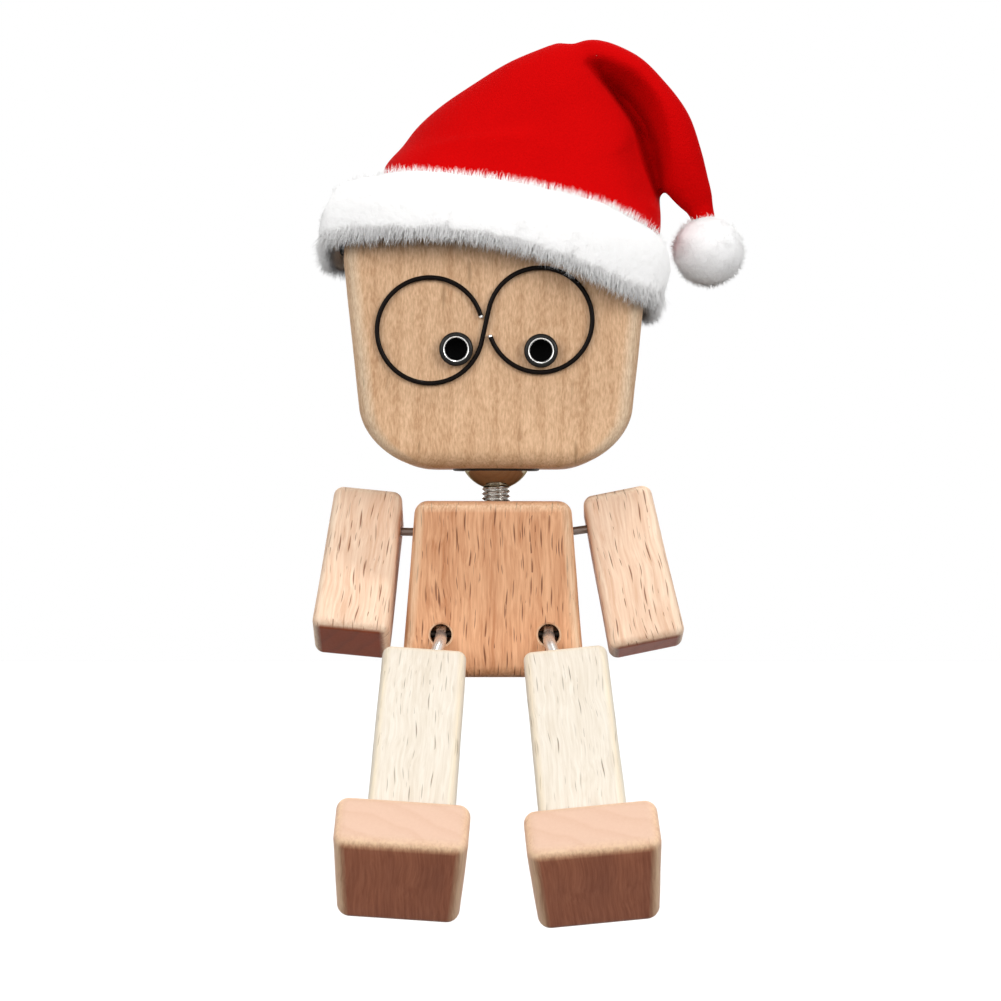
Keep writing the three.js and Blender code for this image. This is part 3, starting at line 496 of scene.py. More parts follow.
def plated_metal(name, scale, detail, colours, rough, inputs):
    """Metal with a plate or lacquer on it, its colour and gloss a little uneven in grains of under a
    millimetre."""
    made, tree = new_material(name)
    grains = specks(tree, scale, detail)
    return finished(made, {"Base Color": blend(tree, grains, *colours),
                           "Roughness": graded(tree, grains, to_low=rough[0], to_high=rough[1]), **inputs})


def hoop(around, about):
    """Faces of a closed hoop of points: about of them round its section, around times."""
    faces = []
    for i in range(around):
        for k in range(about):
            here, on, m = i * about, (i + 1) % around * about, (k + 1) % about
            faces.append((here + k, on + k, on + m, here + m))
    return faces


def turned_ring(profile, sides=72):
    """Points and faces of a turned ring: profile is a closed loop of (radius, z)."""
    return [(r * c, r * s, z) for c, s in compass(sides) for r, z in profile], hoop(sides, len(profile))


plated = plated_metal("dull_plated_steel", 3000.0, 2.0, ("#3E3832", "#25211D"), (0.4, 0.6),
                      {"Metallic": 1.0})
cup_low, cup_high = HEAD_BOTTOM - CUP_PROUD + CUP_LIP, MAGNET_BOTTOM - FIT
cup_loop = [(CUP_INNER, cup_high), (CUP_INNER, cup_low)]
cup_loop += [((CUP_INNER + CUP_OUTER) / 2 - (CUP_OUTER - CUP_INNER) / 2 * math.cos(a),
              cup_low - CUP_LIP * math.sin(a)) for a in np.linspace(0.3, math.pi - 0.3, 7)]
cup_loop += [(CUP_OUTER, cup_low), (CUP_OUTER, cup_high)]
cup = new_piece("magnet_cup_lip", *turned_ring(cup_loop), at(NECK_X, 0, 0))
magnet = new_piece("head_magnet_disc", *turned_form(pin_profile(MAGNET_RADIUS, MAGNET_HEIGHT), 64),
                   at(NECK_X, 0, MAGNET_BOTTOM))
for piece, node in ((cup, "magnet_cup"), (magnet, "head_magnet")):
    shade(piece)
    dress(piece, node, "dark_steel", "head", plated)

# Eyes
# Two blind eyelets pressed into the face, their rims rolled over: glossy black nickel plate, with a
# painted highlight of bright metal round the rim's inner edge, and matt black down the hole as painted
# shade.
EYE_SIDES = 56


def eyelet():
    """Points and faces of an eyelet, and the first points of its painted highlight round the inner edge and
    of its painted-shade inside.
    """
    middle, half = (EYE_HOLE + EYE_RIM) / 2, (EYE_RIM - EYE_HOLE) / 2
    profile = [(0.3, -EYE_DEPTH), (EYE_BARREL, -EYE_DEPTH), (EYE_BARREL, FIT), (EYE_RIM - 0.15, FIT)]
    profile += [(middle + half * math.cos(a), EYE_PROUD - half + half * math.sin(a))
                for a in np.linspace(0, math.pi, 15)]
    highlit_from, inside = len(profile) - 6, len(profile) - 1
    profile += [(EYE_HOLE, 0.7), (EYE_HOLE, 0.2), (EYE_HOLE - 0.1, -1.4), (0.3, -1.5)]
    return *turned_form(profile, EYE_SIDES), highlit_from * EYE_SIDES, inside * EYE_SIDES


nickel = plated_metal("black_nickel_plate", 1400.0, 3.0, ("#0C0B0A", "#24221F"), (0.14, 0.3),
                      {"Specular IOR Level": 0.14})
# Matt black down the hole's wall and bottom: a painted shade.
black = plated_metal("matt_black_painted_shade", 2200.0, 2.0, ("#050505", "#0B0A0A"), (0.9, 0.9),
                     {"Specular IOR Level": 0.1})
# A painted highlight of bright metal round the rim's inner edge, where the light glints.
rim_highlight = drawn_steel("nickel_edge_painted_highlight", "#FBFAF8", "#D8D5D0", 0.3)
for (x, z), node in zip(EYES, ("left_eye", "right_eye")):
    points, faces, highlit_from, inside = eyelet()
    eye = new_piece(node + "_rolled", points, faces, at(x, FACE_Y, z) @ turned(90, "X"))
    shade(eye, 50)
    dress(eye, node, "black_nickel", "head", nickel, black, rim_highlight)
    for face in eye.data.polygons:
        if min(face.vertices) >= highlit_from:
            face.material_index = 1 if min(face.vertices) >= inside else 2

# Spectacles
# One length of 0.75 mm black spring wire bent into two loops and a slanting bridge, cut bright at
# both ends, lying on the face.
WIRE = 0.39
LEFT_LOOP, RIGHT_LOOP = (-10.36, HEAD_BOTTOM + 22.59, 8.7), (7.76, HEAD_BOTTOM + 24.3, 8.6)
WIRE_START, BRIDGE, WIRE_END = 14.0, 347.3, -163
WIRE_GAP, WIRE_BROKEN = 0.15, 0.08


def wire_along(route, radius, sides=14, round_ends=0.0):
    """Points and faces of a round wire along a route, its end faces broken by round_ends."""
    route = [Vector(p) for p in route]
    last = len(route) - 1
    along = [(route[min(i + 1, last)] - route[max(i - 1, 0)]).normalized() for i in range(last + 1)]
    up = along[0].orthogonal().normalized()
    rings = []
    for i, (p, t) in enumerate(zip(route, along)):
        up = (up - t * up.dot(t)).normalized()
        side = t.cross(up)
        stops = [(p, radius)]
        if round_ends and i == 0:
            stops = [(p - t * round_ends, radius - round_ends), (p, radius)]
        if round_ends and i == last:
            stops = [(p, radius), (p + t * round_ends, radius - round_ends)]
        rings += [[centre + r * (c * up + s * side) for c, s in compass(sides)] for centre, r in stops]
    return skin(rings)


def on_loop(loop, degrees):
    x, z, radius = loop
    turn = math.radians(degrees)
    return x + radius * math.cos(turn), FACE_Y - WIRE_GAP - WIRE, z + radius * math.sin(turn)


def smooth_route(points, per_step):
    """A route through the points with no corners."""
    points = np.array(points, float)
    padded = np.vstack([2 * points[0] - points[1], points, 2 * points[-1] - points[-2]])
    made = []
    for i in range(1, len(padded) - 2):
        a, b, c, d = padded[i - 1:i + 3]
        for t in np.arange(per_step) / per_step:
            made.append(0.5 * (2 * b + (c - a) * t + (2 * a - 5 * b + 4 * c - d) * t ** 2
                               + (3 * b - a - 3 * c + d) * t ** 3))
    return made + [points[-1]]


wire_route = [on_loop(LEFT_LOOP, a) for a in np.linspace(WIRE_START, BRIDGE, 60)]
wire_route += [on_loop(RIGHT_LOOP, a) for a in np.linspace(BRIDGE - 180, WIRE_END, 60)]
spectacles = new_piece("spectacles", *wire_along(smooth_route(wire_route, 3), WIRE, 14, WIRE_BROKEN))
shade(spectacles, 50)
oxide = plated_metal("black_oxide_wire", 1800.0, 2.0, ("#0B0807", "#1A1310"), (0.12, 0.24),
                     {"Specular IOR Level": 0.04})
bright_steel = drawn_steel("bright_zinc_plate", "#EFEEEB", "#C8C5C0", 0.28, 0.85)
dress(spectacles, "spectacles_wire", "black_wire", "head", oxide, bright_steel)
cut_ends = [Vector(p) * MM for p in (wire_route[0], wire_route[-1])]
for face in spectacles.data.polygons:
    if min((face.center - end).length for end in cut_ends) < 0.5 * MM:
        face.material_index = 1

# Arms
# Two tapered beech blocks, each pushed on to a bright steel pin that turns in the torso's side.
ARM_BOTTOM, ARM_TOP, ARM_DEPTH, ARM_LENGTH, ARM_EDGE = 12.8, 11.6, 12, 26.6, 1.6
# Name, place, how far it splays from its pin's line, how far it reaches above it, and the pin's start.
ARMS = (("left", LEFT_ARM, 5, 5.5, -PIN_OUTER, left_pin_way),
        ("right", RIGHT_ARM, -3.1, 4.9, -PIN_INNER, right_pin_way))

dull_wire = drawn_steel("drawn_steel_wire", "#A89E96", "#7E756E", 0.5)
for name, place, splay, above, pin_start, way in ARMS:
    arm = wood_block(name + "_arm_block", ARM_BOTTOM, ARM_TOP, ARM_DEPTH, ARM_LENGTH, ARM_EDGE,
                     place @ turned(splay, "Y") @ at(0, 0, above - ARM_LENGTH / 2), len(name))
    bore(arm, (*pin_way, way))
    pin_form = turned_form(pin_profile(PIN_RADIUS, PIN_INNER + PIN_OUTER), 28)
    pin = new_piece(name + "_shoulder_wire", *pin_form, place @ at(pin_start, 0, 0) @ turned(90, "Y"))
    # The end colour darkens only the arm's lower end: end grain, and partly painted shade. edge is a painted
    # highlight on the rounded edges.
    wood = beech("oiled_beech_%s_arm" % name, "#F1D5BB", "#DAB294", "#7C4A2C", (len(name) * 17, 5, 80),
                 end=("#9C4212", "#6C2C0A"), end_way=-1, edge="#F8E2C8")
    for piece, node, slot, look in ((arm, "_arm", "beech", wood),
                                    (pin, "_shoulder_pin", "bright_steel", dull_wire)):
        shade(piece)
        dress(piece, name + node, slot, name + "_arm", look)

# Legs and feet
# Pale beech bars that slope forward from the ledge, each with a redder foot block doweled and glued
# to its end, and hung on a bent steel eye pin from the hip axle.
LEG_WIDTH, LEG_DEPTH, LEG_LENGTH, LEG_EDGE, LEG_SWING = 13.8, 11, 37.5, 1.5, 45
FOOT_HEEL, FOOT_TOE, FOOT_THICK, FOOT_LENGTH, FOOT_EDGE, GLUE = 19.0, 20.8, 9.5, 19.9, 2.0, 0.2
DOWEL_RADIUS, DOWEL_LENGTH = 2, 12
HIP_PIN_RADIUS, HIP_EYE, BEND_Y, DROOP = 1.0, HIP_HOLE_RADIUS - FIT, -12.0, 11
LEGS = (("left", limb_place(-11.1, -18.4, 5.9, LEG_SWING, 3.8), HIP_X[0], -1, 7.0, -0.95),
        ("right", limb_place(11.7, -18.4, 5.9, LEG_SWING, -5.5), HIP_X[1], 1, 5.7, 1.0))


def joined(*forms):
    """Points and faces of several forms as one."""
    points, faces = [], []
    for more_points, more_faces in forms:
        faces += [tuple(v + len(points) for v in f) for f in more_faces]
        points += list(more_points)
    return points, faces


def hip_route(hip_x, side, extra):
    """The pin's line: out of the hole, a droop, a bend, then straight on into the leg."""
    eye = Vector((hip_x, AXLE_Y, HIP_Z))
    bend = Vector((hip_x, BEND_Y, HIP_Z - (AXLE_Y - BEND_Y) * math.tan(math.radians(DROOP))))
    slope = math.radians(LEG_SWING)
    into = Vector((side * 1.4 / 5, -math.sin(slope), -math.cos(slope))).normalized()
    before, after = bend.lerp(eye, 0.3), bend + into * 1.6
    route = [eye.lerp(bend, 0.22 + 0.48 * k / 4) for k in range(4)]
    route += [before * (1 - t) ** 2 + bend * 2 * t * (1 - t) + after * t * t for t in np.linspace(0, 1, 12)]
    return route + [after.lerp(bend + into * (14 + extra), k / 8) for k in range(1, 9)]


for name, place, hip_x, side, rise, shift in LEGS:
    leg = wood_block(name + "_leg_bar", LEG_WIDTH, LEG_WIDTH, LEG_DEPTH, LEG_LENGTH, LEG_EDGE,
                     place @ at(0, LEG_DEPTH / 2, -LEG_LENGTH / 2), len(name) + 20)
    foot = wood_block(name + "_foot_block", FOOT_HEEL, FOOT_TOE, FOOT_THICK, FOOT_LENGTH, FOOT_EDGE,
                      place @ at(shift, FOOT_LENGTH / 2 - rise, -LEG_LENGTH - GLUE - FOOT_THICK / 2)
                      @ turned(90, "X"), len(name) + 30)
    dowel_way = (*rod(DOWEL_RADIUS + FIT, DOWEL_LENGTH + 2 * FIT),
                 place @ at(0, LEG_DEPTH / 2, -LEG_LENGTH - DOWEL_LENGTH / 2 - FIT))
    bore(leg, dowel_way, (*wire_along(hip_route(hip_x, side, FIT), HIP_PIN_RADIUS + FIT, 24), Matrix()))
    bore(foot, dowel_way)
    dowel = new_piece(name + "_dowel", *turned_form(pin_profile(DOWEL_RADIUS, DOWEL_LENGTH), 32),
                      place @ at(0, LEG_DEPTH / 2, -LEG_LENGTH - DOWEL_LENGTH / 2))
    shank = wire_along(hip_route(hip_x, side, 0), HIP_PIN_RADIUS, 24, 0.15)
    loop = [(HIP_EYE, -0.6), (HIP_EYE - 0.15, -0.8), (AXLE_RADIUS + FIT, -0.8), (AXLE_RADIUS + FIT, 0.8),
            (HIP_EYE - 0.15, 0.8), (HIP_EYE, 0.6)]
    eye_points, eye_faces = turned_ring(loop, 40)
    eye_points = [turned(90, "Y") @ Vector(p) + Vector((hip_x, AXLE_Y, HIP_Z)) for p in eye_points]
    pin = new_piece(name + "_hip_eye_pin", *joined(shank, (eye_points, eye_faces)))
    # edge is a painted highlight on the rounded edges of the legs and feet.
    pale = beech("oiled_pale_beech_%s_leg" % name, "#E2DACD", "#D2C7B6", "#857666", (len(name) * 9, 33, 5),
                 flecks=0.4, ray=(0.24, 4.2), rings=0.2, edge="#EFDFC0")
    # The sole colours are a painted shade on the foot's underside.
    red = beech("oiled_beech_%s_foot" % name, "#E9C5AA", "#D9AE92", "#9A6A50", (len(name) * 5, 70, 12),
                flecks=0.2, rings=0.25, end=("#DDBBA4", "#CCA288"), sole=("#AF6A4B", "#8E5036"),
                edge="#F8D6AC")
    for piece, node, slot, look in ((leg, "_leg", "pale_beech", pale), (foot, "_foot", "beech", red),
                                    (dowel, "_ankle_dowel", "pale_beech", pale),
                                    (pin, "_hip_pin", "bright_steel", bright_steel)):
        shade(piece)
        dress(piece, name + node, slot, name + "_leg", look)

# Hat bag
# A pointed bag of red velour, sewn from one folded piece with its seam behind, pulled on with its
# tip flopped over to the right so that a deep fold runs down beside the tail.
BRIM_Z, BRIM_ROLL, BRIM_PITCH = 73.4, 9, 10
BAG_WIDTH, BAG_DEPTH, BAG_HEIGHT, SKIRT = 26.9, 18.1, 33, ((-1.5, 0), (2.5, 2.5))
TAIL_WIDTH, TAIL_DEPTH, CLOTH = 4.3, 4.7, 1.0
HAT = turned(BRIM_ROLL, "Y") @ turned(-BRIM_PITCH, "X")
# Shares of the bag's size: middle x, y, z, half width, tilt, half depth, pitch, squareness.
BAG_RINGS = (
    (0.182, 0.066, 0.206, 0.888, 12, 0.961, 8, 3.4), (0.234, 0.077, 0.376, 0.825, 8.5, 0.851, 6, 2.6),
    (0.264, 0.055, 0.539, 0.751, 4.5, 0.707, 4, 2.2), (0.305, 0.022, 0.661, 0.643, 4, 0.586, 3, 2),
    (0.368, -0.022, 0.770, 0.498, 6, 0.475, 1, 2), (0.435, -0.055, 0.867, 0.349, 11, 0.365, 0, 2),
    (0.506, -0.077, 0.945, 0.204, 18, 0.254, 0, 2), (0.60, -0.088, 1.0, 0.2, 8, 0.13, 0, 2))
# Shares for the tail: middle x, y, z, then half width, tilt and half depth.
TAIL_RINGS = (
    (0.428, -0.066, 0.848, 0.977, 44, 0.723), (0.617, -0.088, 0.918, 0.930, 86, 0.894),
    (0.807, -0.122, 0.855, 0.977, 121, 0.979), (0.952, -0.144, 0.739, 1.0, 141, 1.0),
    (1.078, -0.155, 0.606, 1.0, 158, 0.979), (1.152, -0.166, 0.448, 0.977, 168, 0.915),
    (1.208, -0.166, 0.303, 0.907, 166, 0.809), (1.271, -0.166, 0.212, 0.698, 158, 0.638),
    (1.301, -0.166, 0.170, 0.535, 156, 0.511), (1.33, -0.166, 0.09, 0.45, 164, 0.45))


def cloth_ring(middle, half_width, tilt, half_depth, pitch, squareness, count=72):
    """One ring of the bag: a squarish oval, tilted sideways and pitched back."""
    turn = (turned(tilt, "Y") @ turned(-pitch, "X")).to_3x3()
    ring = []
    for i in range(count):
        c, s = math.cos(2 * math.pi * i / count), math.sin(2 * math.pi * i / count)
        reach = (abs(c) ** squareness + abs(s) ** squareness) ** (-1 / squareness)
        ring.append(turn @ Vector((half_width * c * reach, half_depth * s * reach, 0)) + Vector(middle))
    return ring


def loft(rings, per_step):
    """Rings with smooth ones put in between."""
    route = smooth_route(np.array(rings, float).reshape(len(rings), -1), per_step)
    return np.array(route).reshape(-1, len(rings[0]), 3)


def bag_point(x, y, z):
    return x * BAG_WIDTH, y * BAG_DEPTH, BRIM_Z + z * BAG_HEIGHT


bag_rings = [cloth_ring(HAT.to_3x3() @ Vector((shift, 0, up)) + Vector((NECK_X, 0, BRIM_Z)),
                        BAG_WIDTH - shift, BRIM_ROLL, BAG_DEPTH, BRIM_PITCH, 8) for up, shift in SKIRT]
bag_rings += [cloth_ring(bag_point(x, y, z), w * BAG_WIDTH, tilt, d * BAG_DEPTH, pitch, square)
              for x, y, z, w, tilt, d, pitch, square in BAG_RINGS]
tail_rings = [cloth_ring(bag_point(x, y, z), w * TAIL_WIDTH, tilt, d * TAIL_DEPTH, 0, 2.2)
              for x, y, z, w, tilt, d in TAIL_RINGS]
bag = new_piece("hat_bag", *joined(skin(loft(bag_rings, 6)), skin(loft(tail_rings, 6))))
settle(bag, ("REMESH", {"mode": "VOXEL", "voxel_size": 0.5 * MM}),
       ("SMOOTH", {"factor": 0.5, "iterations": 8}))

# The fold beside the tail, down the front: x, z, how deep, and how wide on the bag's and the tail's
# side. It opens as a hollow under the bend and closes to a crease that the tail lies over.
FOLD = ((15.4, 103.6, 0.0, 0.8, 0.8), (18.2, 101.4, 4.0, 1.0, 1.7), (22.0, 97.8, 8.0, 1.4, 2.5),
        (25.0, 93.8, 8.0, 1.7, 2.2), (27.2, 90.0, 6.0, 3.6, 1.2), (28.0, 85.5, 5.0, 4.4, 0.9),
        (28.0, 81.0, 3.0, 3.4, 0.8), (28.0, 78.0, 0.0, 1.0, 0.8))
# A soft crease where the cloth bulges above the brim on the left, as the fold with its depth outwards.
BULGE = ((-12.0, 87.8, 0.0, 1.5, 1.5), (-8.0, 89.0, -0.5, 1.6, 0.7), (0.0, 90.0, -0.5, 2.0, 0.8),
         (9.0, 90.2, 0.0, 2.0, 1.0))
# The seam behind, drawn in a little.
SEAM = ((4.0, 74.0, -0.5, 0.7, 0.7), (6.0, 86.0, -0.5, 0.7, 0.7), (8.6, 96.0, -0.5, 0.7, 0.7),
        (10.5, 101.0, 0.0, 0.7, 0.7))


def press_fold(piece, stops, behind=False):
    """Pushes the front of the cloth back along a fold, or the back of it forwards along a seam."""
    line = np.array(smooth_route(stops, 12))
    for vertex in piece.data.vertices:
        x, y, z = vertex.co / MM
        y = -y if behind else y
        if y > 1:
            continue
        away = np.array((x, z)) - line[:, :2]
        near = int(np.argmin((away ** 2).sum(1)))
        step = line[min(near + 1, len(line) - 1), :2] - line[max(near - 1, 0), :2]
        tail_side = away[near][1] * step[0] - away[near][0] * step[1] > 0
        wide = max(0.3, line[near, 4 if tail_side else 3])
        fade = math.exp(-(away[near] ** 2).sum() / wide ** 2)
        vertex.co.y += MM * line[near, 2] * fade * min(1, (1 - y) / 3)


press_fold(bag, FOLD)
press_fold(bag, BULGE)
press_fold(bag, SEAM, behind=True)
settle(bag, ("SMOOTH", {"factor": 0.5, "iterations": 3}))


def open_below(piece, level):
    """Opens the bag at the plane of its skirt, level millimetres up in the hat's own frame."""
    into_hat = (at(NECK_X, 0, BRIM_Z) @ HAT).inverted()
    keep = [f for f in piece.data.polygons if (into_hat @ f.center).z > level * MM]
    used = sorted({v for f in keep for v in f.vertices})
    number = {v: i for i, v in enumerate(used)}
    points = [piece.data.vertices[v].co / MM for v in used]
    faces = [tuple(number[v] for v in f.vertices) for f in keep]
    name = piece.name
    bpy.data.objects.remove(piece)
    return new_piece(name, points, faces)


bag = open_below(bag, SKIRT[0][0] + 0.8)
settle(bag, ("SOLIDIFY", {"thickness": CLOTH * MM, "offset": -1.0}))


def red_velour():
    """Short-pile velour: a deep saturated red whose nap, 0.3 mm long, catches light at the edges and
    lies in soft patches a few millimetres wide."""
    made, tree = new_material("red_velour")
    patches, nap = specks(tree, 160.0, 3.0), specks(tree, 2600.0, 2.0)
    tone = reckon(tree, "MULTIPLY_ADD", nap, 0.5, reckon(tree, "MULTIPLY", patches, 0.5))
    tufts = add(tree, "Bump", {"Strength": 0.35, "Distance": 0.0003, "Height": nap})
    return finished(made, {"Base Color": blend(tree, tone, "#B60002", "#CC0303"), "Roughness": 0.95,
                           "Normal": tufts, "Specular IOR Level": 0.05, "Sheen Weight": 0.05,
                           "Sheen Roughness": 0.4, "Sheen Tint": linear("#FF2A20")})


bag.data.shade_smooth()
dress(bag, "hat_cone", "red_velour", "hat", red_velour())

# Hat brim
# A fat band of white long-pile plush, sewn round the bag's edge and rolled over, standing off the head.
BRIM_WIDTH, BRIM_DEPTH, BRIM_HEIGHT, BRIM_THICK, BRIM_SQUARE, BRIM_DROOP = 59.6, 43, 12.2, 6.4, 6, 3.0
# The section is squarer than an oval; the sides are less tall, and the back is tugged up.
# Its top leans in and is filled out to the bag, most at the left end.
BAND_SQUARE, SIDE_LESS, BACK_LIFT, LEAN_IN, INNER_FILL, LEFT_FILL = 4.2, 0.28, 0.16, 1.2, 1.2, 6.8
# The hem in front is arched and hangs lowest at the right end.
ARCH, SAG = 1.3, 0.0045
AROUND, ABOUT = 160, 36
BAND_STEPS = [(math.tau * i / AROUND, math.tau * k / ABOUT) for i in range(AROUND) for k in range(ABOUT)]


def brim_point(angle, turn, out_by=0.0):
    """A point of the band: angle round the head, turn round the band's own flat-faced section."""
    c, s = math.cos(angle), math.sin(angle)
    reach = (abs(c) ** BRIM_SQUARE + abs(s) ** BRIM_SQUARE) ** (-1 / BRIM_SQUARE)
    along, across = math.cos(turn), math.sin(turn)
    full = (abs(along) ** BAND_SQUARE + abs(across) ** BAND_SQUARE) ** (-1 / BAND_SQUARE)
    high = max(0, across)
    out = max((BRIM_THICK / 2 + out_by) * along * full - BRIM_THICK / 2, -3.6) - LEAN_IN * high
    if along < 0:
        out -= (INNER_FILL + LEFT_FILL * max(0, -c * reach) ** 6) * high * min(1, -2 * along)
    x = (BRIM_WIDTH / 2 + out) * c * reach
    y = (BRIM_DEPTH / 2 + out) * s * reach
    side = min(1, abs(c) * reach) ** 6
    up = (BRIM_HEIGHT / 2 * (1 - SIDE_LESS * side) + out_by) * across * full - BRIM_DROOP * (c * reach) ** 2
    up += BACK_LIFT * max(0, y)
    up -= min(0, across * full) * max(0, -s * reach) ** 2 * (ARCH - SAG * (x + 5) ** 2)
    return HAT.to_3x3() @ Vector((x, y, up)) + Vector((NECK_X, 0, BRIM_Z))


def off_the_head(p, room=0.4):
    """Moves a point that would lie in the head, which is rounded over on top, out to its nearest side."""
    x, y, down = p.x - NECK_X, p.y, HEAD_TOP + room - p.z
    if down < 0:
        return p
    less = UPPER - math.sqrt(UPPER ** 2 - max(0, UPPER - down) ** 2)
    dx, dy = BROW + room - less - abs(x), HEAD_DEPTH / 2 + room - less - abs(y)
    if dx > 0 and dy > 0:
        if dx < dy:
            p.x += math.copysign(dx, x)
        else:
            p.y += math.copysign(dy, y)
    return p


brim_points = []
for angle, turn in BAND_STEPS:
    p = brim_point(angle, turn, -0.4)
    lump = 0.35 * noise.noise(p / 5.0) + 0.15 * noise.noise(p / 2.2)
    trim = 0.25 * max(0, -math.sin(turn))
    brim_points.append(off_the_head(brim_point(angle, turn, -0.4 - trim + lump)))
brim = new_piece("hat_brim_band", brim_points, hoop(AROUND, ABOUT))
brim.data.shade_smooth()


def tuft_way(angle, turn):
    """Which way the plush is shaded: its tufts pass light on, so the band's rolled edges look turned
    outwards and all of it a little towards the room's front and top."""
    turn = (turn + math.pi) % (2 * math.pi) - math.pi
    turn = math.copysign(0.35 * abs(turn) + 1.7 * max(0, abs(turn) - 1.3), turn)
    out = brim_point(angle, turn, 1) - brim_point(angle, turn, 0)
    return (out.normalized() + Vector((0, -0.4, 0.1))).normalized()


brim.data.normals_split_custom_set_from_vertices([tuft_way(*step) for step in BAND_STEPS])


def white_plush(name, bright, shade_colour, glow=0.0):
    """White acrylic plush: bright matt fibres with a painted soft grey shade between the tufts, about 1.5 mm
    apart.
    glow is how far light goes into a thick tuft, in centimetres."""
    made, tree = new_material(name)
    tufts = specks(tree, 650.0, 3.0)
    relief = add(tree, "Bump", {"Strength": 0.4, "Distance": 0.0004, "Height": tufts})
    return finished(made, {"Base Color": blend(tree, tufts, bright, shade_colour), "Roughness": 0.9,
                           "Normal": relief, "Specular IOR Level": 0.1, "Sheen Weight": 0.2,
                           "Subsurface Weight": glow, "Subsurface Scale": 0.01 * glow,
                           "Subsurface Radius": (1, 1, 1)})


def unit(ways):
    """Rows of directions, each made one long."""
    return ways / np.linalg.norm(ways, axis=1, keepdims=True)


def pile(name, roots, leans, lengths, outward, width, seed):
    """Plush fibres as fine three-sided spikes, each bent once: roots and directions in millimetres.
    A fibre is shaded with the pile's outward face, as a matt soft tuft is."""
    draw = np.random.RandomState(seed)
    count = len(roots)
    leans = unit(leans)
    bend = draw.normal(0, 0.35, (count, 3))
    side = unit(np.cross(leans, draw.normal(size=(count, 3))))
    other = np.cross(leans, side)
    middle = roots + leans * lengths[:, None] * 0.55
    points = np.zeros((count, 7, 3))
    for k, (c, s) in enumerate(compass(3)):
        spread = c * side + s * other
        points[:, k] = roots + spread * width
        points[:, 3 + k] = middle + spread * width * 0.7
    points[:, 6] = middle + unit(leans + bend) * lengths[:, None] * 0.5
    spike = ((0, 1, 4, 3), (1, 2, 5, 4), (2, 0, 3, 5), (3, 4, 6), (4, 5, 6), (5, 3, 6), (2, 1, 0))
    faces = [tuple(7 * i + v for v in f) for i in range(count) for f in spike]
    piece = new_piece(name, points.reshape(-1, 3), faces)
    piece.data.shade_smooth()
    piece.data.normals_split_custom_set_from_vertices(np.repeat(outward, 7, axis=0).tolist())
    return piece


# Where the pile grows: how many fibres, round the section from and to, how far it stands out, how far
# it is combed down, its shortest and longest. The lower fringe hangs over the face and the upper one
# stands up against the bag, both with the light of the band's front on them.
BRIM_PILE = ((5500, -0.9, 0.9, 0.3, 0.9, 0.8, 1.5), (9500, -1.3, -0.7, 0.3, 1.0, 1.6, 3.2),
             (3500, -2.3, -1.3, 0.1, 1.0, 0.9, 1.8), (6000, 0.7, 1.35, 0.35, -1.0, 0.9, 2.1),
             (2500, 1.35, 2.5, 0.5, -0.6, 0.7, 1.6))
HAT_UP = HAT.to_3x3() @ Vector((0, 0, 1))


def brim_pile(rows, seed):
    """Roots, directions, lengths and shading of the fibres in some rows of BRIM_PILE."""
    draw = np.random.RandomState(seed)
    roots, leans, lengths, outward = [], [], [], []
    for count, low, high, stand, comb, short, long in rows:
        full = len(roots) + count
        while len(roots) < full:
            angle, turn = draw.uniform(0, 2 * math.pi), draw.uniform(low, high)
            root, outer = brim_point(angle, turn, -0.8), brim_point(angle, turn, 0.9)
            if draw.uniform() > (brim_point(angle + 0.01, turn, -0.8) - root).length / 0.4:
                continue
            if abs(root.x - NECK_X) < BROW + 0.4 and abs(root.y) < HEAD_DEPTH / 2 + 0.4:
                continue
            away = (outer - root).normalized()
            tuft = noise.noise_vector(root / 1.4)
            outward.append(tuft_way(angle, turn))
            roots.append(root)
            leans.append(away * stand - HAT_UP * comb + 0.45 * tuft + 0.2 * Vector(draw.normal(size=3)))
            lengths.append(draw.uniform(short, long))
    return np.array(roots), np.array(leans), np.array(lengths), np.array(outward)


plush = white_plush("white_plush_band", "#FEFEFD", "#F6F5F4", 0.25)
fibre_plush = white_plush("white_plush_fibres", "#FEFEFD", "#F8F7F6")
brim_fur = pile("hat_brim_pile", *brim_pile(BRIM_PILE[:3], 5), 0.04, 6)
upper_fur = pile("hat_brim_upper_pile", *brim_pile(BRIM_PILE[3:], 7), 0.04, 8)
dress(brim, "hat_brim", "white_plush", "hat", plush)
for fur in (brim_fur, upper_fur):
    dress(fur, None, "white_plush", "hat", fibre_plush)

# Pompom
# A ball of the same plush gathered on a thread and sewn to the tip of the tail.
POMPOM, POMPOM_RADIUS, POMPOM_SIDES = Vector((36.4, -3, 71.8)), 6.5, 56
# Its tufts pass light on, as the band's do, so it is shaded as if turned a little to the front and top.
TOWARDS_ROOM = (0, -0.7, 0.25)


def round_ways(count, seed):
    """Directions spread evenly over a ball, each a little off its place."""
    draw = np.random.RandomState(seed)
    k = np.arange(count) + 0.5
    tall = np.arccos(1 - 2 * k / count)
    turn = math.pi * (1 + math.sqrt(5)) * k
    ways = np.stack([np.cos(turn) * np.sin(tall), np.sin(turn) * np.sin(tall), np.cos(tall)], 1)
    return unit(ways + draw.normal(0, 0.02, ways.shape))


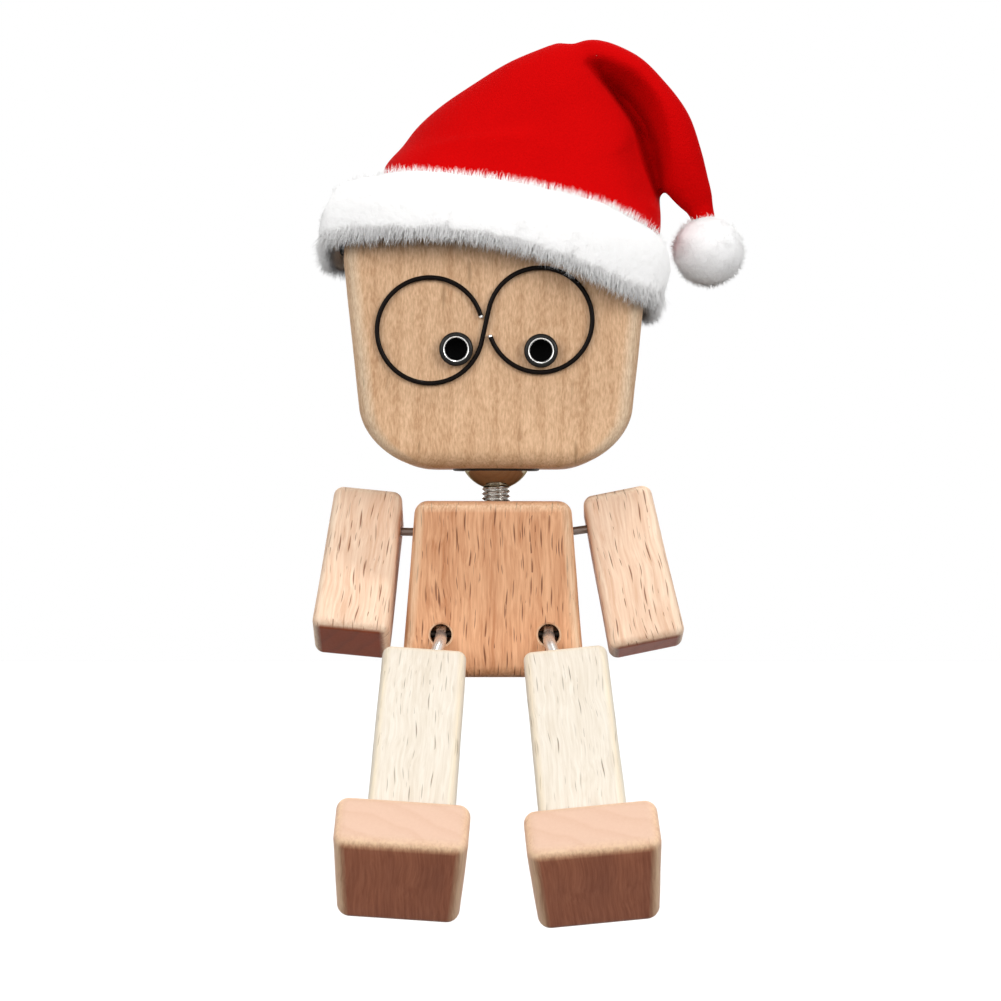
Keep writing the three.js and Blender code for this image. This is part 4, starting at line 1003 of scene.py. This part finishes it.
pom_rings = []
for a in np.linspace(-math.pi / 2 + 0.05, math.pi / 2 - 0.05, 36):
    ring = []
    for c, s in compass(POMPOM_SIDES):
        way = Vector((math.cos(a) * c, math.cos(a) * s, math.sin(a)))
        ring.append(way * (POMPOM_RADIUS - 0.7 + 0.3 * noise.noise(way * 2.4) + 0.12 * noise.noise(way * 6)))
    pom_rings.append(ring)
pompom = new_piece("hat_pompom_ball", *skin(pom_rings), at(*POMPOM))
pompom.data.shade_smooth()
pompom.data.normals_split_custom_set_from_vertices(
    [(vertex.co.normalized() + Vector(TOWARDS_ROOM)).normalized() for vertex in pompom.data.vertices])
ways = round_ways(5000, 8)
draw = np.random.RandomState(9)
swell = np.array([0.3 * noise.noise(Vector(w) * 2.4) for w in ways])
pom_fur = pile("hat_pompom_pile", np.array(POMPOM) + ways * (POMPOM_RADIUS - 0.9 + swell)[:, None],
               0.6 * ways + np.array([noise.noise_vector(Vector(w) * 3) for w in ways])
               + draw.normal(0, 0.3, ways.shape), draw.uniform(0.6, 1.3, len(ways)),
               ways + TOWARDS_ROOM, 0.04, 10)
dress(pompom, "hat_pompom", "white_plush", "hat", white_plush("white_plush_ball", "#FEFEFD", "#F6F5F4", 0.8))
dress(pom_fur, None, "white_plush", "hat", fibre_plush)

# Light and floor
# A soft high key from the front, an even pale room above and little light from below, over a plain
# white floor well under the hanging feet.
FLOOR_Z, FLOOR_HALF = -160, 3000


def shown_plainly(tree):
    """Whether a ray comes from the camera, at first hand, by a mirror or through something clear."""
    seen = add(tree, "LightPath").outputs
    bent = reckon(tree, "MAXIMUM", seen["Is Glossy Ray"], seen["Is Transmission Ray"])
    return reckon(tree, "MAXIMUM", seen["Is Camera Ray"], bent)


corners = [(x * FLOOR_HALF, y * FLOOR_HALF, 0) for x, y in ((-1, -1), (1, -1), (1, 1), (-1, 1))]
floor = new_piece("floor", corners, [(0, 1, 2, 3)], at(0, 0, FLOOR_Z))
paper, tree = new_material("white_paper")
matt = add(tree, "BsdfDiffuse", {0: blend(tree, shown_plainly(tree), "#2E2A28", "#FCFCFC")})
add(tree, "OutputMaterial", {0: matt})
floor.data.materials.append(paper)

# A crisp sun almost overhead, a broad soft window in front, pale walls to both sides and one behind:
# name, from the front and from the right in degrees off straight up, strength, width.
LAMPS = (("overhead", 13, 9, 1.0, 5), ("window", 77, 0, 0.92, 60), ("right wall", 42, 65, 1.45, 30),
         ("left wall", 42, -66, 1.3, 40), ("back wall", -66, 0, 1.7, 60))
for name, front, right, strength, width in LAMPS:
    lamp = bpy.data.objects.new(name, bpy.data.lights.new(name, "SUN"))
    lamp.data.energy, lamp.data.angle = strength, math.radians(width)
    lamp.rotation_euler = (math.radians(front), math.radians(right), 0)
    bpy.context.scene.collection.objects.link(lamp)

room = bpy.data.worlds.new("room")
room.use_nodes = True
room.node_tree.nodes.clear()
tree = room.node_tree
up = add(tree, "SeparateXYZ", {0: add(tree, "TexCoord").outputs["Generated"]})
sky = graded(tree, up.outputs[2], -0.1, 0.35, 0.03, 0.3)
strength = add(tree, "Mix", {0: shown_plainly(tree), 2: sky, 3: 1.0}, data_type="FLOAT")
light = add(tree, "Background", {0: (1, 1, 1, 1), 1: strength})
add(tree, "OutputWorld", {0: light})
bpy.context.scene.world = room
bpy.context.scene.view_settings.view_transform = "Standard"
